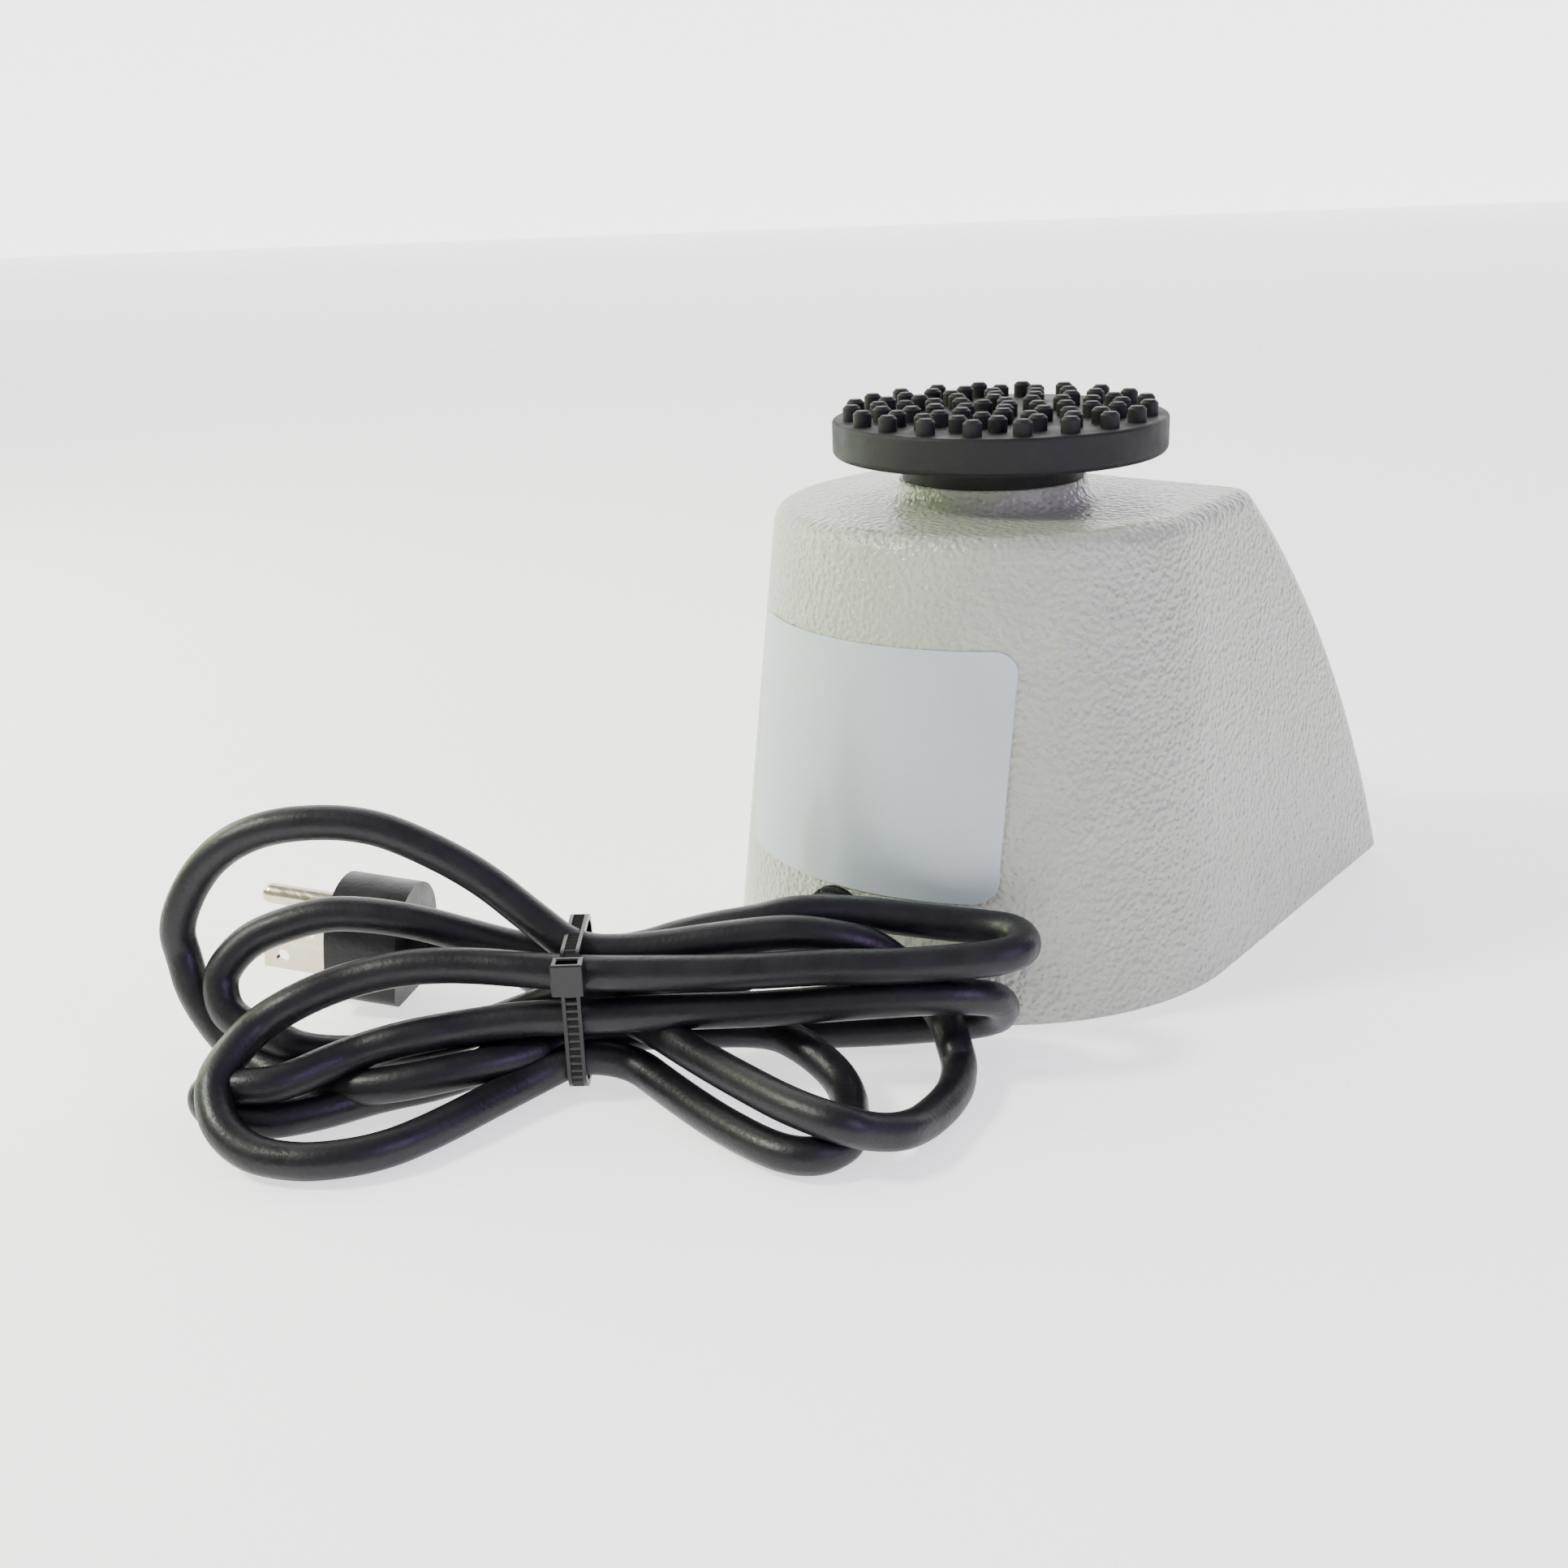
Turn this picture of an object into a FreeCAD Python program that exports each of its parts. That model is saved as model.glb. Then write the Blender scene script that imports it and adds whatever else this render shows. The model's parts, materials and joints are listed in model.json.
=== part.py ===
"""Vortex mixer with a studded rubber platform, as a parametric FreeCAD document.

The mixer stands on the XY plane. Its controls face -Y, its cord leaves towards +Y and +X is
on the right of a person who faces the controls. The origin is the middle of its footprint,
without the cord. Every size is a cell of the sheet Sizes, in millimetres or degrees. Places
that follow from the sizes are properties of the object Places.
"""
import FreeCAD
import Part
import Sketcher
import math
import os

Vector = FreeCAD.Vector
Rotation = FreeCAD.Rotation
Placement = FreeCAD.Placement

SIZES = {
    # how far a cutting tool runs past the face that it opens
    "cut_spare": 1.0,
    # cast housing
    "body_length": 166.0,
    "rear_radius": 62.0,
    "top_rear_radius": 50.0,
    "side_taper": 3.6,
    "foot_gap": 2.0,
    "housing_top": 106.0,
    "front_setback": 66.5,
    "front_bulge": 8.9,
    "wall": 4.5,
    "top_wall": 5.0,
    "front_corner_radius": 8.0,
    "top_edge_radius": 4.5,
    "collar_radius": 21.5,
    "collar_height": 4.7,
    "collar_flare": 4.0,
    "collar_lip": 0.5,
    "collar_bore": 18.5,
    "boss_radius": 5.0,
    "boss_height": 20.0,
    "boss_wall_overlap": 1.0,
    "rear_boss_angle": 52.0,
    "front_boss_inset": 28.0,
    # base plate, screws and feet
    "plate_thickness": 2.0,
    "plate_recess": 1.0,
    "plate_clearance": 0.5,
    "plate_front_room": 1.1,
    "screw_radius": 2.0,
    "screw_hole_clearance": 0.25,
    "screw_head_radius": 3.5,
    "screw_head_height": 0.9,
    "screw_engagement": 9.0,
    "slot_width": 0.8,
    "slot_span": 1.1,
    "foot_radius": 8.0,
    "foot_stem_radius": 3.0,
    "foot_barb_radius": 4.2,
    "foot_barb_height": 1.6,
    "foot_taper": 0.8,
    "front_foot_spread": 34.0,
    "front_foot_inset": 20.0,
    "rear_foot_angle": 36.0,
    "rear_foot_inset": 18.0,
    # control panel
    "panel_level": 47.0,
    "panel_width": 80.0,
    "panel_height": 56.0,
    "panel_depth": 2.2,
    "panel_corner": 6.0,
    "panel_wall": 3.0,
    "panel_rim": 3.0,
    "overlay_thickness": 0.6,
    "overlay_clearance": 0.3,
    "knob_offset": 20.0,
    "switch_offset": 20.0,
    # speed knob and its potentiometer
    "knob_radius": 14.0,
    "knob_crown_radius": 11.5,
    "knob_height": 15.0,
    "knob_skirt_height": 4.0,
    "knob_gap": 0.6,
    "knob_hollow_radius": 9.0,
    "knob_hollow_depth": 4.5,
    "knob_flute_radius": 2.0,
    "knob_flutes": 14.0,
    "knob_draft": 0.6,
    "knob_top_radius": 1.2,
    "flute_reach": 1.6,
    "pointer_width": 1.4,
    "pointer_length": 8.0,
    "pointer_height": 0.5,
    "pointer_inset": 1.5,
    "dial_shaft_radius": 3.0,
    "dial_shaft_length": 24.0,
    "dial_shaft_clearance": 0.05,
    "bushing_radius": 4.5,
    "bushing_reach": 3.4,
    "bushing_hole_clearance": 0.2,
    "pot_radius": 11.5,
    "pot_depth": 9.0,
    "pot_nut_radius": 7.2,
    "pot_nut_height": 2.0,
    "pot_back": 2.0,
    "lug_width": 1.4,
    "lug_length": 5.0,
    "lug_thickness": 0.8,
    "lug_pitch": 4.0,
    "lug_root": 1.0,
    # rocker switch
    "bezel_width": 21.0,
    "bezel_height": 28.0,
    "bezel_thickness": 2.2,
    "bezel_corner": 1.5,
    "barrel_width": 18.6,
    "barrel_height": 25.4,
    "barrel_depth": 15.0,
    "barrel_clearance": 0.2,
    "tab_thickness": 0.8,
    "tab_width": 4.8,
    "tab_length": 7.0,
    "tab_pitch": 7.0,
    "rocker_width": 13.4,
    "rocker_height": 20.6,
    "rocker_thickness": 6.0,
    "rocker_rise": 1.6,
    "rocker_side_gap": 0.5,
    "rocker_end_gap": 0.9,
    "rocker_well_depth": 8.0,
    "rocker_hollow_radius": 46.0,
    "rocker_hollow_depth": 1.1,
    "rocker_pin_radius": 1.2,
    "rocker_pin_length": 1.4,
    "pin_clearance": 0.05,
    # head: rubber platform on a metal plate
    "platform_radius": 38.1,
    "platform_thickness": 8.2,
    "platform_gap": 5.2,
    "platform_edge_radius": 1.6,
    "platform_top_radius": 0.8,
    "stud_radius": 2.05,
    "stud_height": 3.4,
    "stud_rounding": 0.7,
    "stud_sink": 0.4,
    "head_plate_radius": 30.0,
    "head_plate_thickness": 3.0,
    "head_plate_inset": 0.6,
    "head_hub_radius": 11.0,
    "head_hub_length": 4.4,
    "screw_head_room": 2.0,
    # eccentric drive
    "throw": 2.45,
    "pin_radius": 3.0,
    "pin_root_radius": 4.2,
    "bearing_radius": 8.0,
    "bearing_width": 5.0,
    "bearing_recess": 0.4,
    "inner_race_radius": 4.3,
    "outer_race_wall": 1.4,
    "ball_clearance": 0.05,
    "ball_count": 8.0,
    "bearing_screw_radius": 1.4,
    "bearing_screw_head": 4.0,
    "bearing_screw_head_height": 1.6,
    "crank_radius": 9.0,
    "crank_height": 7.0,
    "crank_gap": 3.0,
    "shaft_seat": 4.9,
    "weight_radius": 13.2,
    "weight_height": 4.0,
    "set_screw_radius": 1.6,
    "set_screw_recess": 0.4,
    "seal_bore": 15.2,
    "seal_depth": 7.6,
    "seal_flange_radius": 20.6,
    "seal_rise": 3.3,
    # motor, hung under the top of the housing
    "isolator_height": 5.0,
    "isolator_radius": 5.5,
    "frame_side": 64.0,
    "frame_corner": 5.0,
    "frame_thickness": 4.0,
    "frame_leg_radius": 4.6,
    "upper_leg_length": 18.0,
    "lower_leg_length": 10.0,
    "bearing_boss_radius": 10.0,
    "upper_boss_height": 5.0,
    "lower_boss_height": 4.0,
    "vent_width": 5.0,
    "vent_offset": 21.0,
    "bush_radius": 7.0,
    "bush_length": 9.0,
    "shaft_radius": 4.0,
    "shaft_clearance": 0.05,
    "stator_height": 30.0,
    "stator_window": 28.0,
    "stator_bore": 17.6,
    "air_gap": 0.6,
    "pole_width": 14.0,
    "pole_overlap": 2.0,
    "coil_wall": 5.0,
    "coil_inner": 18.6,
    "coil_outer": 24.5,
    "coil_clearance": 0.25,
    "bolt_spread": 26.0,
    "bolt_radius": 2.0,
    "bolt_hole_clearance": 0.2,
    "bolt_head_radius": 3.6,
    "bolt_head_height": 2.4,
    "bolt_boss_height": 4.0,
    "bolt_boss_radius": 5.5,
    "bolt_depth": 7.0,
    "fan_radius": 22.0,
    "fan_hub_radius": 8.0,
    "fan_height": 5.0,
    "fan_blade": 1.4,
    "fan_blade_root": 1.0,
    "fan_blades": 8.0,
    "fan_gap": 3.0,
    # touch control under the shaft
    "touch_travel": 1.5,
    "shaft_end": 15.0,
    "cup_radius": 8.0,
    "cup_neck_radius": 6.4,
    "cup_ring": 1.5,
    "cup_height": 7.0,
    "cup_floor": 2.4,
    "cup_grip": 0.4,
    "guide_clearance": 0.35,
    "guide_wall": 2.6,
    "guide_height": 11.0,
    "guide_flange_radius": 15.0,
    "guide_flange_height": 2.0,
    "spring_radius": 5.4,
    "spring_wire": 0.5,
    "spring_turns": 4.0,
    "spring_seat_clearance": 0.1,
    "arm_length": 27.0,
    "arm_width": 7.0,
    "arm_thickness": 1.5,
    "touch_switch_offset": 23.0,
    "touch_switch_length": 20.0,
    "touch_switch_width": 6.4,
    "touch_switch_height": 9.6,
    "plunger_radius": 1.2,
    "plunger_clearance": 0.06,
    "plunger_play": 0.1,
    "plunger_length": 7.0,
    "plunger_stand": 0.5,
    "plunger_room": 0.4,
    "bracket_thickness": 1.2,
    "bracket_margin": 2.0,
    "bracket_height": 6.7,
    "bracket_foot": 14.4,
    "rivet_radius": 1.5,
    "rivet_height": 0.5,
    "rivet_spread": 6.0,
    "rivet_level": 2.6,
    # electrics
    "board_width": 60.0,
    "board_length": 40.0,
    "board_thickness": 1.6,
    "board_standoff": 7.0,
    "board_centre": 46.0,
    "standoff_radius": 2.6,
    "standoff_inset": 4.0,
    "standoff_floor": 2.0,
    "board_screw_radius": 1.3,
    "board_screw_length": 4.0,
    "board_screw_head": 2.4,
    "board_screw_height": 1.6,
    "capacitor_width": 18.0,
    "capacitor_depth": 8.5,
    "capacitor_height": 12.0,
    "capacitor_corner": 1.0,
    "capacitor_x": -14.0,
    "capacitor_back": 8.0,
    "triac_width": 10.0,
    "triac_thickness": 4.4,
    "triac_height": 12.0,
    "triac_x": 9.0,
    "sink_width": 24.0,
    "sink_depth": 7.0,
    "sink_height": 13.0,
    "sink_base": 2.0,
    "sink_fins": 5.0,
    "sink_fin": 1.2,
    "choke_radius": 7.0,
    "choke_height": 6.0,
    "choke_front": 8.0,
    "terminal_width": 22.0,
    "terminal_depth": 12.0,
    "terminal_height": 10.0,
    "terminal_spread": 26.0,
    "terminal_back": 20.0,
    "terminal_screw_radius": 1.8,
    "terminal_pitch": 6.5,
    "terminal_shank_radius": 0.8,
    "terminal_shank": 1.5,
    "terminal_head": 1.2,
    "earth_spread": 28.0,
    "earth_back": 20.0,
    "earth_screw_radius": 2.0,
    "earth_head_radius": 4.0,
    "earth_head": 2.0,
    "earth_lug": 1.5,
    # rear label
    "label_angle": 34.0,
    "label_low": 29.0,
    "label_high": 83.0,
    "label_thickness": 0.3,
    "label_corner": 4.5,
    "label_bond": 0.05,
    "label_margin": 4.0,
    # mains cord, its strain relief, tie and plug
    "cord_radius": 3.7,
    "cord_level": 20.0,
    "relief_radius": 7.6,
    "relief_tip_radius": 4.9,
    "relief_length": 22.0,
    "relief_flange_radius": 8.4,
    "relief_flange": 2.0,
    "relief_neck_radius": 5.2,
    "relief_hole_clearance": 0.2,
    "relief_grip": 6.0,
    "relief_shoulder": 7.0,
    "relief_seat_depth": 1.6,
    "relief_room": 0.6,
    "lead_reach": 12.0,
    "cord_socket": 3.0,
    "hank_x": 22.0,
    "hank_distance": 55.0,
    "hank_turn": 41.0,
    "body_room": 0.8,
    "plug_dx": -0.207,
    "plug_dy": 0.105,
    "plug_dz": 0.973,
    "tie_thickness": 1.3,
    "tie_width": 3.8,
    "tie_height": 30.6,
    "tie_depth": 26.2,
    "tie_rise": 17.2,
    "tie_corner": 5.0,
    "tie_head_width": 6.4,
    "tie_head_depth": 4.4,
    "tie_head_height": 6.8,
    "plug_width": 24.0,
    "plug_height": 26.0,
    "plug_top": 15.0,
    "plug_length": 17.0,
    "plug_corner": 3.0,
    "grip_length": 18.0,
    "grip_width": 13.0,
    "grip_end_radius": 5.0,
    "grip_rib_width": 1.2,
    "grip_rib_depth": 0.5,
    "blade_length": 17.0,
    "blade_width": 6.3,
    "blade_thickness": 1.5,
    "blade_spacing": 12.7,
    "blade_drop": 4.4,
    "blade_root": 4.0,
    "blade_hole_radius": 1.6,
    "blade_hole_inset": 4.5,
    "earth_pin_radius": 2.4,
    "earth_pin_length": 20.5,
    "earth_pin_rise": 7.5,
}

# Places that follow from the sizes.
PLACES = {
    "head_y": "body_length / 2 - rear_radius",
    "front_height": "housing_top - foot_gap",
    "front_chord": "sqrt(front_setback ^ 2 + front_height ^ 2)",
    "front_radius": "(front_chord ^ 2 / 4 + front_bulge ^ 2) / (2 * front_bulge)",
    "front_centre_y":
        "front_setback / 2 - body_length / 2 + (front_radius - front_bulge) * front_height / front_chord",
    "front_centre_z":
        "(foot_gap + housing_top) / 2 - (front_radius - front_bulge) * front_setback / front_chord",
    "draft": "(rear_radius - top_rear_radius) / front_height",
    "plate_bottom": "foot_gap + plate_recess",
    "plate_top": "plate_bottom + plate_thickness",
    "inner_top": "housing_top - top_wall",
    "plate_radius": "rear_radius - wall - plate_clearance - draft * (plate_top - foot_gap)",
    "plate_front":
        "front_centre_y - sqrt((front_radius - wall) ^ 2 - (plate_bottom - front_centre_z) ^ 2)"
        " + plate_clearance + plate_front_room",
    "boss_wall_gap": "boss_radius - boss_wall_overlap",
    "rear_boss_reach": "plate_radius + plate_clearance - boss_wall_gap",
    "rear_boss_x": "rear_boss_reach * sin(rear_boss_angle)",
    "rear_boss_y": "head_y + rear_boss_reach * cos(rear_boss_angle)",
    "front_boss_y": "front_boss_inset - body_length / 2",
    "front_boss_x":
        "(rear_boss_reach - (head_y - front_boss_y) * sin(side_taper)) / cos(side_taper)",
    "front_foot_y": "plate_front + front_foot_inset",
    "rear_foot_x": "(plate_radius - rear_foot_inset) * sin(rear_foot_angle)",
    "rear_foot_y": "head_y + (plate_radius - rear_foot_inset) * cos(rear_foot_angle)",
    "panel_tilt": "acos((panel_level - front_centre_z) / front_radius)",
    "panel_y": "front_centre_y - (front_radius - panel_depth) * sin(panel_tilt)",
    "panel_z": "front_centre_z + (front_radius - panel_depth) * cos(panel_tilt)",
    "pivot_height": "overlay_thickness + bezel_thickness - rocker_thickness / 2 + rocker_rise",
    "collar_top": "housing_top + collar_height",
    "platform_bottom": "collar_top + platform_gap",
    "platform_top": "platform_bottom + platform_thickness",
    "pin_y": "head_y - throw",
    "head_plate_bottom": "platform_bottom + head_plate_inset",
    "head_plate_top": "head_plate_bottom + head_plate_thickness",
    "head_hub_bottom": "head_plate_bottom - head_hub_length",
    "bearing_bottom": "head_hub_bottom + bearing_recess",
    "bearing_top": "bearing_bottom + bearing_width",
    "frame_top": "inner_top - bolt_boss_height - isolator_height",
    "frame_bottom": "frame_top - frame_thickness",
    "stator_top": "frame_bottom - upper_leg_length",
    "stator_bottom": "stator_top - stator_height",
    "lower_frame_top": "stator_bottom - lower_leg_length",
    "lower_frame_bottom": "lower_frame_top - frame_thickness",
    "upper_boss_top": "frame_top + upper_boss_height",
    "lower_boss_bottom": "lower_frame_bottom - lower_boss_height",
    "crank_bottom": "upper_boss_top + crank_gap",
    "crank_top": "crank_bottom + crank_height",
    "coil_half": "pole_width / 2 + coil_clearance + coil_wall",
    "fan_bottom": "frame_bottom - fan_gap - fan_height",
    "seal_bottom": "collar_top - seal_depth",
    "cup_bottom": "shaft_end - cup_floor",
    "spring_bottom": "plate_top + spring_seat_clearance",
    "arm_bottom": "cup_bottom + cup_height - arm_thickness",
    "touch_switch_y": "head_y - touch_switch_offset",
    "touch_switch_top": "arm_bottom - touch_travel - plunger_play - plunger_stand",
    "touch_switch_bottom": "touch_switch_top - touch_switch_height",
    "plunger_top": "arm_bottom - plunger_play",
    "board_y": "0 - board_centre",
    "board_bottom": "plate_top + board_standoff",
    "board_top": "board_bottom + board_thickness",
    "terminal_y": "head_y + terminal_back",
    "earth_y": "head_y + earth_back",
    "relief_wall_y": "head_y + rear_radius - draft * (cord_level - foot_gap)",
    "relief_seat_y": "relief_wall_y - relief_seat_depth",
    "relief_grip_y": "relief_seat_y - wall - relief_grip",
    "relief_tip_y": "relief_wall_y + relief_length",
    "lead_end_y": "relief_tip_y + lead_reach",
    "hank_y": "body_length / 2 + hank_distance",
    "set_screw_level": "crank_bottom + crank_height / 2",
    "lower_bush_length": "bush_length",
    "dial_shaft_low": "pot_back - panel_wall - pot_depth",
    "knob_bottom": "overlay_thickness + knob_gap",
}

# Rings of studs on the platform: radius, number of studs, turn of the first one in degrees.
STUD_RINGS = [
    (33.6, 20, 7.0),
    (27.4, 20, 16.0),
    (21.4, 13, 4.0),
    (15.4, 10, 20.0),
    (9.4, 6, 12.0),
    (3.6, 3, 40.0),
]

# How far the blanks of the drafted solids run past what is cut from them.
FRONT_SPARE = 4.0
SIDE_SPARE = 12.0
END_SPARE = 2.0

# A bend of the cord takes this share of the shorter of its two runs.
BEND_SHARE = 0.45

# The spring is drawn with this many sides to its wire and sections to a turn.
WIRE_SIDES = 8
SPRING_STEPS = 16

doc = FreeCAD.newDocument("vortex_mixer")


# ---------------------------------------------------------------- sheet, places and bindings
def make_sheet():
    """Puts every size in a cell of its own, with its name beside it."""
    cells = doc.addObject("Spreadsheet::Sheet", "Sizes")
    for row, (alias, value) in enumerate(SIZES.items(), start=1):
        cells.set(f"A{row}", alias)
        cells.set(f"B{row}", str(value))
        cells.setAlias(f"B{row}", alias)
    doc.recompute()
    return cells


def spell(expression):
    """Gives each size and place in an expression the name of the object that holds it."""
    words = []
    word = ""
    for letter in expression + " ":
        if letter.isalnum() or letter in "_.":
            word += letter
            continue
        if word in SIZES:
            word = "Sizes." + word
        elif word in PLACES:
            word = "Places." + word
        words.append(word + letter)
        word = ""
    return "".join(words).strip()


def make_places():
    """Works out the places that follow from the sizes, as bound properties."""
    places = doc.addObject("App::VarSet", "Places")
    for name, expression in PLACES.items():
        places.addProperty("App::PropertyFloat", name, "Places")
        places.setExpression(name, spell(expression))
        doc.recompute()
    return places


def value(name):
    """The number that a size or place has now."""
    if name in SIZES:
        return float(sheet.get(name))
    return float(getattr(places_of, name))


def bind(item, bindings):
    """Binds properties of an object to expressions of sizes and places."""
    for path, expression in bindings.items():
        item.setExpression(path, spell(expression))
    return item


def put(item, at, turn=None):
    """Places an object: a fixed turn, and a position of three expressions."""
    item.Placement = Placement(Vector(0, 0, 0), turn or Rotation())
    for axis, expression in zip("xyz", at):
        bind(item, {"Placement.Base." + axis: expression})
    return item


# ---------------------------------------------------------------- plain solids and booleans
ALONG_X = Rotation(Vector(0, 1, 0), 90)
ALONG_Y = Rotation(Vector(1, 0, 0), -90)


def cylinder(radius, height, at=("0", "0", "0"), turn=None):
    item = doc.addObject("Part::Cylinder", "Cylinder")
    bind(item, {"Radius": radius, "Height": height})
    return put(item, at, turn)


def cone(low_radius, high_radius, height, at=("0", "0", "0"), turn=None):
    item = doc.addObject("Part::Cone", "Cone")
    bind(item, {"Radius1": low_radius, "Radius2": high_radius, "Height": height})
    return put(item, at, turn)


def block(width, depth, height, at=("0", "0", "0")):
    """A box that is centred on x and y of its position and stands on its z."""
    item = doc.addObject("Part::Box", "Box")
    bind(item, {"Length": width, "Width": depth, "Height": height})
    return put(item, (f"{at[0]} - ({width}) / 2", f"{at[1]} - ({depth}) / 2", at[2]))


def rounded_block(width, depth, height, corner, at=("0", "0", "0")):
    """A block with its four upright edges rounded."""
    item = doc.addObject("Part::Fillet", "Rounded")
    item.Base = block(width, depth, height, at)
    doc.recompute()
    radius = measure(corner)
    upright = [
        (number, radius, radius)
        for number, edge in enumerate(item.Base.Shape.Edges, start=1)
        if abs(edge.tangentAt(edge.FirstParameter).z) > 0.9
    ]
    item.Edges = upright
    return item


def measure(expression):
    """The number that an expression of sizes and places has now."""
    probe = doc.addObject("App::VarSet", "Probe")
    probe.addProperty("App::PropertyFloat", "result", "Probe")
    probe.setExpression("result", spell(expression))
    doc.recompute()
    result = float(probe.result)
    doc.removeObject(probe.Name)
    return result


def fuse(*items):
    item = doc.addObject("Part::MultiFuse", "Fusion")
    item.Shapes = list(items)
    return item


def cut(base, *tools):
    item = doc.addObject("Part::Cut", "Cut")
    item.Base = base
    item.Tool = tools[0] if len(tools) == 1 else fuse(*tools)
    return item


def common(first, second):
    item = doc.addObject("Part::Common", "Common")
    item.Base = first
    item.Tool = second
    return item


def group(items):
    item = doc.addObject("Part::Compound", "Group")
    item.Links = list(items)
    return item


def tube(outer, inner, height, at=("0", "0", "0"), turn=None):
    return cut(cylinder(outer, height, at, turn), cylinder(inner, height, at, turn))


nodes = {}


def node(label, item):
    """Names a finished piece."""
    item.Label = label
    nodes[label] = item
    return item


def coded(name, shape, placement=None):
    """A piece whose shape is made here from the sizes."""
    item = doc.addObject("Part::Feature", name)
    item.Shape = shape
    if placement:
        item.Placement = placement
    return item


def corners():
    """The four pairs of signs of a piece that has one of something in each corner."""
    return [(x, y) for x in (-1, 1) for y in (-1, 1)]


# ---------------------------------------------------------------- sketches of the housing
def plane_of(body, role):
    return next(item for item in body.Origin.OriginFeatures if item.Role == role)


def new_sketch(body, name, role, shift_x="0", shift_z="0"):
    """A sketch on an origin plane, shifted along its own x and its normal."""
    sketch = body.newObject("Sketcher::SketchObject", name)
    sketch.AttachmentSupport = [(plane_of(body, role), "")]
    sketch.MapMode = "FlatFace"
    bind(sketch, {"AttachmentOffset.Base.x": shift_x, "AttachmentOffset.Base.z": shift_z})
    return sketch


def name_constraint(sketch, kind, *args, name, expression):
    """Adds a dimension and binds it."""
    index = sketch.addConstraint(Sketcher.Constraint(kind, *args))
    sketch.renameConstraint(index, name)
    bind(sketch, {"Constraints." + name: expression})


def plan_sketch(body, name, radius, level, front):
    """The plan of the body at one level: a rear arc, two tapering sides and a straight front."""
    sketch = new_sketch(body, name, "XY_Plane", shift_z=level)
    centre_y = value("head_y")
    size = measure(radius)
    low = measure(front)
    lean = math.radians(value("side_taper"))
    side = Vector(size * math.cos(lean), centre_y - size * math.sin(lean), 0)
    foot_x = side.x - (side.y - low) * math.tan(lean)
    circle = Part.Circle(Vector(0, centre_y, 0), Vector(0, 0, 1), size)
    sketch.addGeometry(Part.ArcOfCircle(circle, -lean, math.pi + lean))
    sketch.addGeometry(Part.LineSegment(Vector(-side.x, side.y, 0), Vector(-foot_x, low, 0)))
    sketch.addGeometry(Part.LineSegment(Vector(-foot_x, low, 0), Vector(foot_x, low, 0)))
    sketch.addGeometry(Part.LineSegment(Vector(foot_x, low, 0), side))
    add = sketch.addConstraint
    add(Sketcher.Constraint("Tangent", 0, 2, 1, 1))
    add(Sketcher.Constraint("Coincident", 1, 2, 2, 1))
    add(Sketcher.Constraint("Coincident", 2, 2, 3, 1))
    add(Sketcher.Constraint("Tangent", 3, 2, 0, 1))
    add(Sketcher.Constraint("Symmetric", 2, 1, 2, 2, -2))
    add(Sketcher.Constraint("PointOnObject", 0, 3, -2))
    name_constraint(sketch, "Radius", 0, size, name="arc", expression=radius)
    name_constraint(sketch, "DistanceY", -1, 1, 0, 3, centre_y, name="axis", expression="head_y")
    name_constraint(sketch, "DistanceY", 2, 2, -1, 1, -low, name="front", expression=f"0 - ({front})")
    name_constraint(
        sketch, "Angle", 3, math.pi / 2 - lean, name="side", expression="(90 - side_taper) * 1 deg"
    )
    return sketch


def drafted_block(name, low_radius, high_radius, low, high, front_radius):
    """A solid with drafted sides whose front follows an arc about the front centre."""
    body = doc.addObject("PartDesign::Body", name)
    front = f"0 - body_length / 2 - {FRONT_SPARE}"
    bottom = plan_sketch(body, name + "Bottom", low_radius, low, front)
    top = plan_sketch(body, name + "Top", high_radius, high, front)
    doc.recompute()
    loft = body.newObject("PartDesign::AdditiveLoft", name + "Loft")
    loft.Profile = bottom
    loft.Sections = [top]
    loft.Ruled = True
    doc.recompute()
    front_sketch = front_cutter(body, name, low, high, front_radius)
    pocket = body.newObject("PartDesign::Pocket", name + "Front")
    pocket.Profile = front_sketch
    pocket.SideType = "Symmetric"
    bind(pocket, {"Length": "4 * rear_radius"})
    body.Tip = pocket
    doc.recompute()
    return body


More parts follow.
